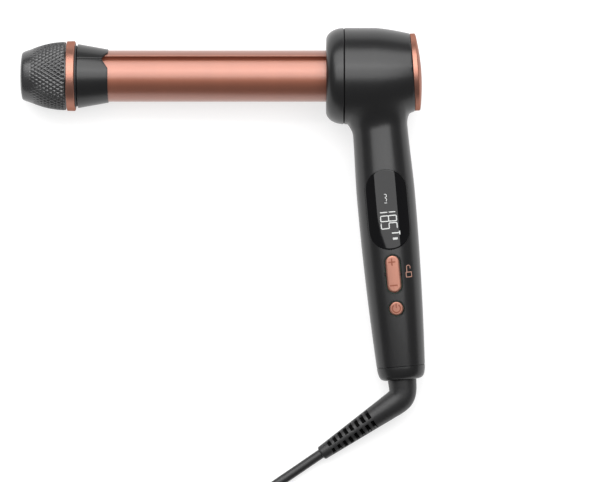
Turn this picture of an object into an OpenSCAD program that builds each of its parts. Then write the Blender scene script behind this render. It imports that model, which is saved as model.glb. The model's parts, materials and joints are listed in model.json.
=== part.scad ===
// Automatic hair curler: a motor turns the heated barrel, a T-shaped body holds the drive and the controls.
// The origin is the barrel's root on the head's face. The body lies on its back, on the tip's ring,
// the head's rim and the foot of the handle. Sizes are in millimetres.

/* [Barrel] */
// Diameter of the heated barrel
barrel_d = 32; // [28:0.5:40]
// Length of barrel between the head and the collar
barrel_l = 135.4; // [110:0.2:170]
// Wall of the barrel tube
barrel_wall = 1.4; // [1:0.1:2]
// Width of the hair groove along the barrel
groove_w = 3.8; // [3:0.1:5]
// Depth of the hair groove
groove_depth = 3.4; // [2.5:0.1:4.5]
// Angle of the groove round the barrel, from the front
groove_turn = 42; // [0:1:90]

/* [Tip] */
// Length of the black collar
collar_l = 19.4; // [14:0.2:26]
// How far the collar's wide end stands out from the barrel
collar_flare = 4; // [2:0.2:6]
// Length of the V notch in the collar
notch_l = 3.9; // [2:0.1:6]
// Length of the copper ring behind the knob
ring_l = 5.8; // [4:0.2:9]
// How far the ring stands out from the barrel
ring_flare = 5.8; // [4:0.2:8]
// Length of the knurled knob
knob_l = 27.7; // [22:0.1:34]
// Diameter of the shaft that the knob turns on
tip_shaft_d = 18; // [14:0.5:20]

/* [Head] */
// Diameter of the head
head_d = 60; // [58:1:76]
// Length of the rounded front cover
cover_l = 11.2; // [9:0.2:15]
// Length of the head, to the copper end cap
head_l = 53.8; // [52:0.2:66]
// Diameter of the copper end cap
rear_d = 48.2; // [47:0.2:58]
// Height of the end cap's centre above the barrel's axis
rear_rise = 2.4; // [0:0.1:4]
// Tilt of the end cap
rear_tilt = 4; // [0:0.5:8]
// Depth of the end cap's side wall
end_side = 3.2; // [2:0.1:5]
// Height of the end cap's dome
end_dome = 2.3; // [1:0.1:4]

/* [Handle] */
// Length of the handle, from the barrel's axis
handle_l = 189.6; // [180:0.2:240]
// Where the handle's axis meets the barrel's axis
handle_x = 30.8; // [30:0.2:34]
// Tilt of the handle away from the barrel
handle_tilt = 5; // [0:0.5:8]
// Diameter at the neck
neck_d = 34.3; // [34:0.1:42]
// Diameter at the thickest place
belly_d = 36.4; // [35:0.1:46]
// Distance of the thickest place from the barrel's axis
belly_s = 77; // [60:1:95]
// Diameter at the foot
foot_d = 30.1; // [29:0.1:38]
// Length of the bottom cap
foot_cap_l = 8.3; // [7:0.1:12]
// Wall of the casings
wall = 2.2; // [1.8:0.1:2.6]

/* [Controls] */
// Distance of the window's centre from the barrel's axis
window_s = 83.6; // [80:0.2:90]
// Length of the window
window_l = 49.8; // [40:0.2:56]
// Width of the window
window_w = 26.4; // [20:0.2:28]
// Distance of the rocker's centre from the barrel's axis
rocker_s = 123.6; // [120:0.2:132]
// Length of the rocker
rocker_l = 23; // [18:0.2:26]
// Width of the rocker
rocker_w = 8.4; // [7:0.1:10]
// Distance of the power button from the barrel's axis
power_s = 145; // [141:0.2:154]
// Diameter of the power button
power_d = 8.5; // [7:0.1:10]
// Gap round each button
button_gap = 0.8; // [0.5:0.1:1.2]
// How far the buttons stand out
button_proud = 0.9; // [0.4:0.1:1.5]

/* [Drive] */
// Module of the gear teeth
gear_module = 0.7; // [0.6:0.05:0.8]
// Teeth of the barrel's gear
gear_teeth = 44; // [40:1:48]
// Teeth of the motor's pinion
pinion_teeth = 16; // [14:1:18]
// Width of the gears
gear_w = 5; // [4:0.5:6]
// Diameter of the hub's shaft
shaft_d = 18; // [16:0.5:20]
// Play between a shaft and its bush, each side
running_play = 0.05; // [0.02:0.01:0.08]

/* [Cord] */
// Diameter of the mains lead
cord_d = 6; // [5:0.1:7]
// Diameter of the strain relief at the handle
relief_d = 17.9; // [16:0.1:20]

/* [Hidden] */
$fn = 48;
play = 0.2;                      // between flat neighbours that don't touch
seat = 0.05;                     // between a piece and the recess that holds it
barrel_r = barrel_d / 2;
bore_r = barrel_r - barrel_wall;
collar_end = barrel_l + collar_l;
ring_start = collar_end + 1.3;
ring_end = ring_start + ring_l;
ring_r = barrel_r + ring_flare;
knob_end = ring_end + knob_l;
knob_r = ring_r - 0.5;
tip_shaft_r = tip_shaft_d / 2;
tube_end = collar_end - 5.8;     // the tube's far end, inside the collar
clip_x = knob_end - 17;          // the snap ring that keeps the knob on
head_r = head_d / 2;
rear_r = rear_d / 2;
face_r = max(head_r - 7.6, barrel_r + 2);
straight_x = 30;                 // where the head begins to taper
shaft_r = shaft_d / 2;
bush_t = 2;
bulkhead_x = cover_l + 2.2;      // front face of the front bulkhead
bulkhead_t = 3.6;
gear_x = bulkhead_x + bulkhead_t + 1;
plate_x = gear_x + gear_w + 1;
plate_t = 1.5;
rear_bulkhead_t = 3.5;
rear_bulkhead_x = head_l - 10.3;
axle_gap = gear_module * (gear_teeth + pinion_teeth) / 2;
motor_shaft_r = 1.5;
gearbox_w = 12;
gearbox_h = 10;
gearbox_l = 8;
motor_x = plate_x + plate_t + gearbox_l;
motor_l = head_l - 8 - motor_x;
drum_x = plate_x + plate_t + 1.5;
drum_r = shaft_r + 2.5;
ring_count = 4;
ring_t = 1;
ring_pitch = (rear_bulkhead_x - 2 - drum_x) / ring_count;
neck_r = neck_d / 2;
belly_r = belly_d / 2;
foot_r = foot_d / 2;
foot_s = handle_l - foot_cap_l;
neck_s = 30;                     // the handle is even above here
board_z = 3;
board_t = 1.6;
board_w = 23;
board_top = 49;
board_end = foot_s - 20;
window_depth = 1.5;
ledge = 1.6;
rocker_pivot_z = 13;
pivot_r = 0.8;
boss_r = 2.8;
screw_r = 1;
screw_places = [53.5, foot_s - 19.5];
board_screw_places = [
  for (x = [-8.6, 8.6], s = [board_top + 7.5, board_end - 7]) [x, s]];
relief_r = relief_d / 2;
ferrule_r = 7.95;
retainer_s = foot_s - 1;
flange_s = foot_s + 1.8;         // the strain relief's flange, inside the bottom cap
bore_s = foot_s + foot_cap_l - 3;  // inner face of the bottom cap's floor
cord_r = cord_d / 2;

// The resting pose: the tip, the head's rim and the foot touch one plane.
pitch = atan((head_r - ring_r) / (cover_l + ring_end));
floor_z = cover_l * sin(pitch) - head_r * cos(pitch);
foot_x = handle_x + (foot_s + 2.7) * sin(handle_tilt);
foot_reach = (foot_s + 2.7) * cos(handle_tilt) * cos(pitch);
lean = asin((foot_x * sin(pitch) - floor_z - foot_r + 0.25) / foot_reach);

// Where the handle's end comes to rest, and how far that is from the place the lead's route is drawn for
foot_end = [handle_x + handle_l * sin(handle_tilt), -handle_l * cos(handle_tilt)];
foot_rest = [foot_end[0] * cos(pitch) - foot_end[1] * sin(lean) * sin(pitch), foot_end[1] * cos(lean)];
lead_shift = foot_rest - [48.09, -188.08];

// The lead's route, from the strain relief's root to the plug. The numbers are in the resting frame.
relief_route = [
  [48.1, -188.1, -15.1], [48.4, -191, -15.4], [48.6, -193.5, -15.7], [48.4, -196.7, -16], [47.1, -199.7, -16.3],
  [44, -202.5, -16.8], [40.5, -204.9, -17.3], [36.9, -207.4, -17.8], [30, -212.1, -18.9], [22, -217.6, -20.1],
  [14, -223.1, -21.4], [6, -228.6, -22.8], [-1.9, -234, -24]];
relief_ends = [relief_r - 0.1, 4.4];
cord_route = [
  [-1.9, -234, -24], [-9, -238.8, -25.1], [-17, -244.3, -25.9], [-25, -249.7, -26.3], [-33, -255.2, -26.4],
  [-41, -260.7, -26.4], [-49, -266, -26.4], [-56.8, -271.8, -26.4], [-63, -279, -26.4],
  [-68, -286, -26.4]];
coil_at = [-35, -306];
coil_mid_r = 33;
coil_turns = 3;                  // turns side by side, and on each other
tail_route = [
  [-19.6, -341.8, -26.4], [-12, -337.8, -26.4], [-4, -334, -26.2], [5, -331.3, -25], [13, -330, -22.8]];
plug_at = [14, -330];
plug_l = 36;
plug_w = 35.3;
plug_t = 13.7;
pin_r = 2;
pin_l = 19;
pin_gap = 18.6;

copper = [0.76, 0.53, 0.44];
black = [0.12, 0.12, 0.13];
steel = [0.7, 0.7, 0.72];
brass = [0.8, 0.65, 0.3];

// ---- places ----

module rested() rotate([lean, -pitch, 0]) children();

// +Z of the children becomes the barrel's axis, towards the head
module along(x) translate([x, 0, 0]) rotate([0, 90, 0]) children();

module at_groove() rotate([-groove_turn, 0, 0]) children();

module in_handle() translate([handle_x, 0, 0]) rotate([0, 0, handle_tilt]) children();

// +Z of the children becomes the way down the handle
module down_handle(s) in_handle() translate([0, -s, 0]) rotate([90, 0, 0]) children();

module at_rear(out = 0) translate([head_l, rear_rise, 0]) rotate([0, 0, rear_tilt]) along(out) children();

// The lead follows the handle's end
module at_foot() translate([lead_shift[0], lead_shift[1], 0]) children();

module at_motor(x) translate([0, -axle_gap, 0]) along(x) children();

// ---- shapes ----

module tube(r_out, r_in, h) difference() {
  cylinder(r = r_out, h = h);
  translate([0, 0, -1]) cylinder(r = r_in, h = h + 2);
}

module turned(points) rotate_extrude() polygon(points);

function stadium_points(l, w, steps = 12) = [
  for (end = [1, -1], i = [0 : steps])
    let (a = 180 * i / steps + (end > 0 ? 0 : 180))
      [w / 2 * cos(a), w / 2 * sin(a) + end * (l - w) / 2]];

module stadium(l, w, z0, z1) translate([0, 0, z0]) linear_extrude(z1 - z0) polygon(stadium_points(l, w));

function unit(v) = v / norm(v);

function ring_points(path, i, r, sides) =
  let (last = len(path) - 1,
       way = unit(path[min(i + 1, last)] - path[max(i - 1, 0)]),
       side = unit(cross(way, [0, 0, 1])),
       up = cross(side, way))
    [for (k = [0 : sides - 1]) path[i] + r * (cos(360 * k / sides) * side + sin(360 * k / sides) * up)];

// A tube along a path, with its radius going from one value to another
module swept(path, r_start, r_end, sides) {
  last = len(path) - 1;
  points = [for (i = [0 : last])
    each ring_points(path, i, r_start + (r_end - r_start) * i / last, sides)];
  skin = [for (i = [0 : last - 1], k = [0 : sides - 1])
    let (a = i * sides, b = a + sides, next = (k + 1) % sides)
      [a + k, a + next, b + next, b + k]];
  start = [for (k = [sides - 1 : -1 : 0]) k];
  finish = [for (k = [0 : sides - 1]) last * sides + k];
  polyhedron(points, concat([start], skin, [finish]), convexity = 6);
}

// ---- gear teeth ----

function involute(a) = tan(a) * 180 / PI - a;

// Half the angle of a tooth at radius r, with a little backlash
function half_tooth(n, r) =
  let (pitch_r = gear_module * n / 2, base_r = pitch_r * cos(20), a = r > base_r ? acos(base_r / r) : 0)
    90 / n + involute(20) - involute(a) - 0.06 / pitch_r * 180 / PI;

function tooth_points(n) =
  let (pitch_r = gear_module * n / 2,
       radii = [for (k = [-1.25, -0.6, 0, 0.5, 0.92]) pitch_r + k * gear_module])
    [for (i = [0 : n - 1]) each concat(
      [for (r = radii) let (a = 360 * i / n - half_tooth(n, r)) r * [cos(a), sin(a)]],
      [for (j = [4 : -1 : 0]) let (r = radii[j], a = 360 * i / n + half_tooth(n, r))
        r * [cos(a), sin(a)]])];

module gear(n, bore, h) linear_extrude(h) difference() {
  polygon(tooth_points(n));
  circle(r = bore);
}

// ---- casing outlines ----

// Radius of the handle at a distance s from the barrel's axis
function handle_r(s) =
  s <= neck_s ? neck_r :
  s < belly_s ? neck_r + (belly_r - neck_r) * (1 - cos(180 * (s - neck_s) / (belly_s - neck_s))) / 2 :
  belly_r - (belly_r - foot_r) * pow(min(1, (s - belly_s) / (foot_s - belly_s)), 1.9);

handle_stations = [for (i = [0 : 12]) neck_s + (foot_s - neck_s) * i / 12];

// The handle's turned body, drawn in by a distance, from s0 to past its end
module handle_body(inset, s0, past = 0) down_handle(0) turned(concat(
  [[0, s0], [neck_r - inset, s0]],
  [for (s = handle_stations) [handle_r(s) - inset, s]],
  past > 0 ? [[foot_r - inset, foot_s + past]] : [],
  [[0, foot_s + past]]));

// The head's outline, drawn in by a distance: an even part, then a taper to the tilted end
module head_body(inset, before, past) {
  along(cover_l - before) cylinder(r = head_r - inset, h = straight_x - cover_l + before);
  hull() {
    along(straight_x - 1) cylinder(r = head_r - inset - 0.1, h = 0.5, $fn = 64);
    at_rear(past - 0.5) cylinder(r = rear_r - inset, h = 0.5, $fn = 64);
  }
}

module window_outline(extra, z0, z1) in_handle() translate([0, -window_s, 0])
  stadium(window_l + 2 * extra, window_w + 2 * extra, z0, z1);

module rocker_outline(extra, z0, z1) in_handle() translate([0, -rocker_s, 0])
  stadium(rocker_l + 2 * extra, rocker_w + 2 * extra, z0, z1);

// Both casings in one piece, before they part along the middle
module housing_shell() difference() {
  union() {
    head_body(0, 0, 0);
    handle_body(0, 10);
  }
  head_body(wall, 2, 2);
  handle_body(wall, 0, 1);
}

module front_half() translate([-50, -handle_l - 20, 0]) cube([200, handle_l + 80, 60]);

module back_half() translate([-50, -handle_l - 20, -60]) cube([200, handle_l + 80, 60]);

head_screw = [straight_x + 6, head_r - 8];

module at_housing_screws() {
  in_handle() for (s = screw_places) translate([0, -s, 0]) children();
  translate([head_screw[0], head_screw[1], 0]) children();
}

// ---- casings ----

module housing_front() color(black) rested() difference() {
  union() {
    intersection() {
      housing_shell();
      front_half();
    }
    // bosses for the casing screws
    intersection() {
      at_housing_screws() cylinder(r = boss_r, h = 40);
      union() {
        head_body(wall / 2, 0, 0);
        handle_body(wall / 2, 10);
      }
    }
    // posts for the board, and cradles for the rocker's pin
    intersection() {
      in_handle() {
        for (p = board_screw_places) translate([p[0], -p[1], board_z + board_t]) cylinder(r = 2, h = 20);
        for (side = [-1, 1]) translate([side * (rocker_w / 2 + 1.8) - 0.7, -rocker_s - 3,
          rocker_pivot_z - 1.6])
          cube([1.4, 6, 10]);
      }
      handle_body(wall / 2, 10);
    }
  }
  // the window's seat
  difference() {
    window_outline(0.1, 5, 40);
    handle_body(window_depth + 0.1, 20);
  }
  window_outline(-ledge, 5, 40);
  rocker_outline(button_gap, rocker_pivot_z - 3, 40);
  in_handle() {
    translate([0, -power_s, 5]) cylinder(r = power_d / 2 + button_gap, h = 30);
    for (p = board_screw_places) translate([p[0], -p[1], 0])
      cylinder(r = screw_r - 0.1, h = board_z + board_t + 5);
    translate([-rocker_w, -rocker_s, rocker_pivot_z]) rotate([0, 90, 0])
      cylinder(r = pivot_r + 0.02, h = 2 * rocker_w);
  }
  at_housing_screws() translate([0, 0, -1]) cylinder(r = screw_r - 0.1, h = 9);
}

module housing_back() color(black) rested() difference() {
  union() {
    intersection() {
      housing_shell();
      back_half();
    }
    intersection() {
      at_housing_screws() translate([0, 0, -40]) cylinder(r = boss_r, h = 40);
      union() {
        head_body(wall / 2, 0, 0);
        handle_body(wall / 2, 10);
      }
    }
  }
  at_housing_screws() {
    translate([0, 0, -40]) cylinder(r = screw_r + 0.2, h = 41);
    translate([0, 0, -44]) cylinder(r = 2.1, h = 38);
  }
}

cover_steps = [for (i = [0 : 6]) 15 * i];

module front_cover() color(black) rested() along(0) turned(concat(
  [[barrel_r + 0.4, 0]],
  [for (a = cover_steps) [face_r + (head_r - face_r) * sin(a), cover_l * (1 - cos(a))]],
  [[head_r - wall - seat, cover_l], [head_r - wall - seat, cover_l + 2], [head_r - wall - 2, cover_l + 2],
   [head_r - wall - 2, cover_l / 2.6], [face_r, wall], [barrel_r + 0.4, wall]]));

dome_r = (rear_r * rear_r + end_dome * end_dome) / (2 * end_dome);

dome_steps = [for (i = [0 : 5]) rear_r * i / 5];

module end_cap() color(copper) rested() at_rear() turned(concat(
  [for (r = dome_steps) [r, end_side + end_dome - dome_r + sqrt(dome_r * dome_r - r * r)]],
  [[rear_r, 0], [rear_r - wall - 0.6, 0], [rear_r - wall - 0.6, -4], [rear_r - wall - 2.4, -4],
   [rear_r - wall - 2.4, end_side], [0, end_side]]));

module bottom_cap() color(black) rested() down_handle(0) turned([
  [relief_r + 0.3, bore_s], [relief_r + 0.3, handle_l], [foot_r - 4.1, handle_l],
  [foot_r - 2.4, handle_l - 0.7], [foot_r - 1, handle_l - 2.3], [foot_r - 0.3, foot_s + 3.2],
  [foot_r, foot_s], [foot_r - wall - seat, foot_s], [foot_r - wall - seat, foot_s - 5],
  [foot_r - wall - 1.3, foot_s - 5], [foot_r - wall - 1.3, bore_s]]);

// ---- drive ----

bulkhead_r = head_r - wall - 0.6;

module bearing_frame() color(steel) rested() {
  difference() {
    union() {
      along(bulkhead_x) cylinder(r = bulkhead_r, h = bulkhead_t);
      translate([0, rear_rise / 2, 0]) along(rear_bulkhead_x)
        cylinder(r = rear_r - 1.4, h = rear_bulkhead_t);
      for (side = [-1, 1]) translate([bulkhead_x + 1, -7, side * 20.4 - 1.4])
        cube([rear_bulkhead_x - bulkhead_x, 14, 2.8]);
      // the plate that carries the gearbox
      intersection() {
        along(plate_x) cylinder(r = bulkhead_r, h = plate_t);
        translate([plate_x, -40, -21.8]) cube([plate_t, 35, 43.6]);
      }
    }
    along(0) cylinder(r = shaft_r + bush_t, h = head_l);
    along(plate_x - 0.5) cylinder(r = drum_r + 3, h = plate_t + 1);
    at_motor(plate_x - 1) cylinder(r = 3.2, h = plate_t + 2);
    translate([rear_bulkhead_x - 1, -axle_gap - 20, -gearbox_w / 2 - 0.6])
      cube([rear_bulkhead_t + 2, 20 + gearbox_h / 2 + 0.5, gearbox_w + 1.2]);
    for (side = [-1, 1]) at_motor(plate_x - 1) translate([side * 4.5, 0, 0])
      cylinder(r = 0.85, h = plate_t + 2);
    // room for the head's screw boss
    translate([rear_bulkhead_x - 6, head_screw[1] - boss_r - 0.4, -30]) cube([3, 10, 60]);
  }
}

module bush(x, flange_out) color(brass) rested() along(x) {
  difference() {
    union() {
      cylinder(r = shaft_r + bush_t - 0.02, h = bulkhead_t);
      translate([0, 0, flange_out]) cylinder(r = shaft_r + 4, h = 1);
    }
    translate([0, 0, -3]) cylinder(r = shaft_r + running_play, h = bulkhead_t + 6);
  }
}

module front_bush() bush(bulkhead_x, -1);

module rear_bush() bush(rear_bulkhead_x, -1);

module gearbox() color(steel) rested() {
  for (x = [plate_x + plate_t, motor_x - 1]) difference() {
    translate([x, -axle_gap - gearbox_h / 2, -gearbox_w / 2]) cube([1, gearbox_h, gearbox_w]);
    at_motor(x - 1) cylinder(r = motor_shaft_r + running_play, h = 3);
  }
  for (side = [-1, 1]) translate([plate_x + plate_t + 1, -axle_gap + side * 4.2, side * 5])
    rotate([0, 90, 0])
    cylinder(r = 0.7, h = gearbox_l - 2);
  for (side = [-1, 1]) translate([plate_x + plate_t + 1.3, -axle_gap - side * 2.2, side * 3.4])
    rotate([0, 90, 0])
    cylinder(r = 1.8, h = gearbox_l - 2.6);
}

module drive_motor() color(steel) rested() at_motor(motor_x) {
  intersection() {
    cylinder(r = gearbox_w / 2, h = motor_l);
    translate([-gearbox_w / 2, -gearbox_h / 2, 0]) cube([gearbox_w, gearbox_h, motor_l]);
  }
  translate([0, 0, motor_l]) cylinder(r = 1.6, h = 0.8);
}

module motor_screws() color(steel) rested() for (side = [-1, 1])
  at_motor(plate_x - 0.9) translate([side * 4.5, 0, 0]) {
    cylinder(r = 1.4, h = 0.9);
    cylinder(r = 0.8, h = 0.9 + plate_t);
  }

module motor_shaft() color(steel) rested() at_motor(gear_x - 0.5)
  cylinder(r = motor_shaft_r, h = motor_x - gear_x + 0.3);

module pinion() color(brass) rested() at_motor(gear_x) rotate(90 + 180 / pinion_teeth)
  gear(pinion_teeth, motor_shaft_r + 0.02, gear_w);

brush_y = drum_r + ring_t + 0.3;

module at_rings() for (i = [0 : ring_count - 1]) translate([drum_x + ring_pitch * (i + 0.5), 0, 0])
  children();

module brush_holder() color("ivory") rested() difference() {
  translate([drum_x - 0.5, brush_y + 1, -4]) cube([rear_bulkhead_x - drum_x + 0.5, 4.7, 8]);
  at_rings() translate([0, brush_y, 0]) rotate([-90, 0, 0]) cylinder(r = 1.05, h = 4.5);
}

module brushes() color([0.3, 0.3, 0.3]) rested() at_rings() translate([0, brush_y, 0]) rotate([-90, 0, 0])
  cylinder(r = 1, h = 3);

module brush_springs() color(steel) rested() at_rings() translate([0, brush_y + 3, 0]) rotate([-90, 0, 0])
  tube(0.9, 0.5, 1.5);

// ---- board and controls ----

module main_board() color("darkgreen") rested() in_handle() difference() {
  translate([-board_w / 2, -board_end, board_z]) cube([board_w, board_end - board_top, board_t]);
  for (p = board_screw_places) translate([p[0], -p[1], 0]) cylinder(r = screw_r + 0.1, h = 10);
  translate([0, -screw_places[0], 0]) cylinder(r = boss_r + 0.3, h = 10);
  translate([-boss_r - 0.3, -board_end - 1, 0])
    cube([2 * boss_r + 0.6, board_end - screw_places[1] + boss_r + 1.3, 10]);
}

module board_components() color([0.25, 0.25, 0.3]) rested() in_handle() {
  translate([-4, -86, board_z - 5.2]) rotate([90, 0, 0]) cylinder(r = 5.2, h = 14);
  translate([-9, -116, board_z - 7]) cube([12, 12, 7]);
  translate([4.5, -112, board_z - 4.5]) cube([5.5, 10, 4.5]);
  translate([-6, -134, board_z - 8]) cube([12, 13, 8]);
  translate([-9, -76, board_z - 2]) cube([8, 8, 2]);
  translate([1, -78, board_z - 1.6]) cube([9, 12, 1.6]);
  translate([3, -95, board_z - 6]) cylinder(r = 2.4, h = 6);
}

module display_module() color([0.2, 0.2, 0.22]) rested() in_handle()
  translate([-9.5, -window_s - window_l / 2 + 4, board_z + board_t]) cube([19, window_l - 8, 6.2]);

module display_window() color([0.03, 0.03, 0.035]) rested() intersection() {
  difference() {
    handle_body(0, 20);
    handle_body(window_depth, 10);
  }
  window_outline(0, 5, 40);
}

module tact_switches() color(steel) rested() in_handle() {
  for (side = [-1, 1]) translate([-2.5, -rocker_s - 2.5 + side * 8, board_z + board_t]) {
    cube([5, 5, 3.6]);
    translate([2.5, 2.5, 0]) cylinder(r = 1.2, h = 4.6);
  }
  translate([-2.5, -power_s - 2.5, board_z + board_t]) {
    cube([5, 5, 3.6]);
    translate([2.5, 2.5, 0]) cylinder(r = 1.2, h = 5);
  }
}

module rocker_pin() color(steel) rested() in_handle()
  translate([-rocker_w / 2 - 2.5, -rocker_s, rocker_pivot_z]) rotate([0, 90, 0])
    cylinder(r = pivot_r, h = rocker_w + 5);

module rocker_button() color(copper) rested() difference() {
  union() {
    intersection() {
      rocker_outline(0, rocker_pivot_z - 1.4, 40);
      handle_body(-button_proud, 20);
    }
    in_handle() for (side = [-1, 1]) translate([0, -rocker_s + side * 8, rocker_pivot_z - 2.9])
      cylinder(r = 1.6, h = 3);
  }
  in_handle() translate([-20, -rocker_s, rocker_pivot_z]) rotate([0, 90, 0])
    cylinder(r = pivot_r + running_play, h = 40);
}

module power_button() color(copper) rested() intersection() {
  in_handle() translate([0, -power_s, 0]) {
    translate([0, 0, board_z + board_t + 6.2]) cylinder(r = power_d / 2, h = 20);
    translate([0, 0, handle_r(power_s) - wall - 2.3]) cylinder(r = power_d / 2 + 1.4, h = 0.9);
  }
  handle_body(-button_proud, 20);
}

module housing_screws() color(steel) rested() at_housing_screws() {
  translate([0, 0, -8]) cylinder(r = 1.9, h = 2);
  translate([0, 0, -7]) cylinder(r = screw_r - 0.1, h = 14);
}

module board_screws() color(steel) rested() in_handle() for (p = board_screw_places)
  translate([p[0], -p[1], board_z - 1.2]) {
    cylinder(r = 1.8, h = 1.2);
    cylinder(r = screw_r - 0.1, h = 6.5);
  }

lead_routes = [
  [[3, -board_end + 3, 2.4], [5, -board_end - 2, 0], [6, -board_end - 4, -3], [5, -board_end - 5.4, -5]],
  [[-3, -board_end + 3, 2.4], [-5, -board_end - 2, 0], [-6, -board_end - 4, -3], [-5, -board_end - 5.4, -5]],
  [[4, -board_top - 3, 2.4], [4, -board_top + 3, -2], [5, -36, -6], [6, -30, -6], [5, -27.4, -5]]];

module inner_leads() color("firebrick") rested() in_handle() for (route = lead_routes)
  swept(route, 0.7, 0.7, 8);

// ---- barrel ----

module groove_slot(w, z0, z1) at_groove() translate([-tube_end + 4, -w / 2, z0])
  cube([tube_end - 1, w, z1 - z0]);

module barrel_tube() color(copper) rested() difference() {
  along(-tube_end) tube(barrel_r, bore_r, tube_end + cover_l - 2.2);
  groove_slot(groove_w, 5, barrel_r + 5);
  at_hub_screws() cylinder(r = 1.25, h = 20);
}

liner_floor = barrel_r - groove_depth;
liner_wall = 0.8;

module slot_liner() color([0.45, 0.36, 0.33]) rested() at_groove() difference() {
  translate([-tube_end + 3, -groove_w / 2 - liner_wall, liner_floor - liner_wall])
    cube([tube_end, groove_w + 2 * liner_wall,
      sqrt(pow(bore_r, 2) - pow(groove_w / 2 + liner_wall, 2)) - 0.05
      - liner_floor + liner_wall]);
  translate([-tube_end + 4, -groove_w / 2, liner_floor]) cube([tube_end - 2, groove_w, 10]);
}

spreader_r = bore_r - 0.1;
stone_gap = 3;
spreader_l = barrel_l - 4;
rib_y = spreader_r / 2;

module spreader_bores(side) {
  for (y = [-rib_y, rib_y]) translate([0, y, side * spreader_r * 0.44]) along(-barrel_l - 2)
    cylinder(r = 3.6, h = barrel_l + 9);
  translate([0, 0, side * 4.2]) along(-barrel_l - 2) cylinder(r = 2.2, h = barrel_l + 9);
}

module spreader(side) difference() {
  intersection() {
    along(-barrel_l) cylinder(r = spreader_r, h = spreader_l);
    translate([-barrel_l - 1, -30, side > 0 ? stone_gap / 2 : -30 - stone_gap / 2])
      cube([barrel_l + 5, 60, 30]);
  }
  spreader_bores(side);
}

module heat_spreader_upper() color("silver") rested() at_groove() difference() {
  spreader(1);
  translate([-barrel_l - 1, -groove_w / 2 - liner_wall - 0.1, liner_floor - liner_wall - 0.1])
    cube([barrel_l + 5, groove_w + 2 * liner_wall + 0.2, 10]);
}

module heat_spreader_lower() color("silver") rested() at_groove() spreader(-1);

stone_count = 4;

module heater_stones() color([0.4, 0.35, 0.3]) rested() at_groove() for (i = [0 : stone_count - 1])
  translate([-spreader_l * (i + 0.9) / stone_count - 3, -7, -1])
    cube([spreader_l / stone_count - 5, 14, 2]);

module electrode_strips() color(brass) rested() at_groove() for (side = [-1, 1]) {
  translate([-barrel_l + 1, -7.5, side * 1.22 - 0.2]) cube([spreader_l - 2, 15, 0.4]);
  translate([-6, -2, side * 1.22 - 0.2]) cube([drum_x + 8, 4, 0.4]);
}

module thermistor() color("ivory") rested() at_groove() translate([0, 0, 4.2]) {
  along(-barrel_l * 0.6) cylinder(r = 2, h = 14);
  along(-barrel_l * 0.6 + 13) cylinder(r = 0.6, h = barrel_l * 0.6 - 17);
}

module thermal_fuse() color("white") rested() at_groove() translate([0, 0, -4.2]) {
  along(-barrel_l * 0.25) cylinder(r = 2, h = 11);
  along(-barrel_l * 0.25 + 10) cylinder(r = 0.6, h = barrel_l * 0.25 - 14);
}

module tip_core() color([0.3, 0.3, 0.3]) rested() along(0) turned([
  [0, -clip_x - 4], [tip_shaft_r - 0.8, -clip_x - 4], [tip_shaft_r, -clip_x - 3.2],
  [tip_shaft_r, -clip_x - 1.2], [tip_shaft_r - 1, -clip_x - 1.2], [tip_shaft_r - 1, -clip_x],
  [tip_shaft_r, -clip_x], [tip_shaft_r, -collar_end], [barrel_r, -collar_end], [barrel_r, -tube_end],
  [bore_r - seat, -tube_end], [bore_r - seat, -tube_end + 2.8], [0, -tube_end + 2.8]]);

module tip_clip() color(steel) rested() along(-clip_x - 1.1)
  tube(tip_shaft_r + 1.1, tip_shaft_r - 0.95, 1);

module tip_collar() color(black) rested() difference() {
  along(0) turned([[barrel_r + seat, -collar_end], [barrel_r + collar_flare, -collar_end],
    [barrel_r + 0.6, -barrel_l], [barrel_r + seat, -barrel_l]]);
  at_groove() translate([-barrel_l, 0, 5]) linear_extrude(30)
    polygon([[1, 7.5], [-notch_l, 0], [1, -7.5]]);
}

module trim_ring() color(copper) rested() along(-ring_end) turned([
  [knob_r - 1.3, 0], [ring_r - 0.3, 0], [ring_r, 0.3], [ring_r, ring_l - 0.5], [ring_r - 0.5, ring_l],
  [knob_r - 1.3, ring_l]]);

hub_r = knob_r - 3;

module tip_hub() color("dimgray") rested() along(0) turned([
  [tip_shaft_r + running_play, -clip_x - 6], [hub_r - 4, -clip_x - 6], [hub_r - 3, -clip_x - 5],
  [hub_r, -ring_end - 4], [hub_r, -ring_start], [ring_r - 2.8, -ring_start],
  [ring_r - 2.8, -collar_end - play], [tip_shaft_r + running_play, -collar_end - play],
  [tip_shaft_r + running_play, -clip_x + 0.3], [tip_shaft_r + 1.5, -clip_x + 0.3],
  [tip_shaft_r + 1.5, -clip_x - 1.5], [tip_shaft_r + running_play, -clip_x - 1.5]]);

module tip_knob() color([0.16, 0.16, 0.17]) rested() along(0) turned([
  [0, -knob_end], [barrel_r - 4, -knob_end + 0.3], [barrel_r - 2.2, -knob_end + 0.5],
  [barrel_r - 0.9, -knob_end + 1.6], [barrel_r + 2.3, -knob_end + 10.3],
  [knob_r - 0.6, -knob_end + 19.8], [knob_r, -ring_end - 1.1], [knob_r - 0.2, -ring_end],
  [knob_r - 1.35, -ring_end], [knob_r - 1.35, -ring_start], [hub_r + seat, -ring_start],
  [hub_r + seat, -ring_end - 4], [hub_r - 3 + seat, -clip_x - 5], [hub_r - 4 + seat, -clip_x - 6.1],
  [0, -clip_x - 6.1]]);

hub_flange_x = cover_l - 2.2;

module at_hub_screws() for (turn = [90, 210, 330]) rotate([turn, 0, 0])
  translate([hub_flange_x - 3, 0, 0]) children();

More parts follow.
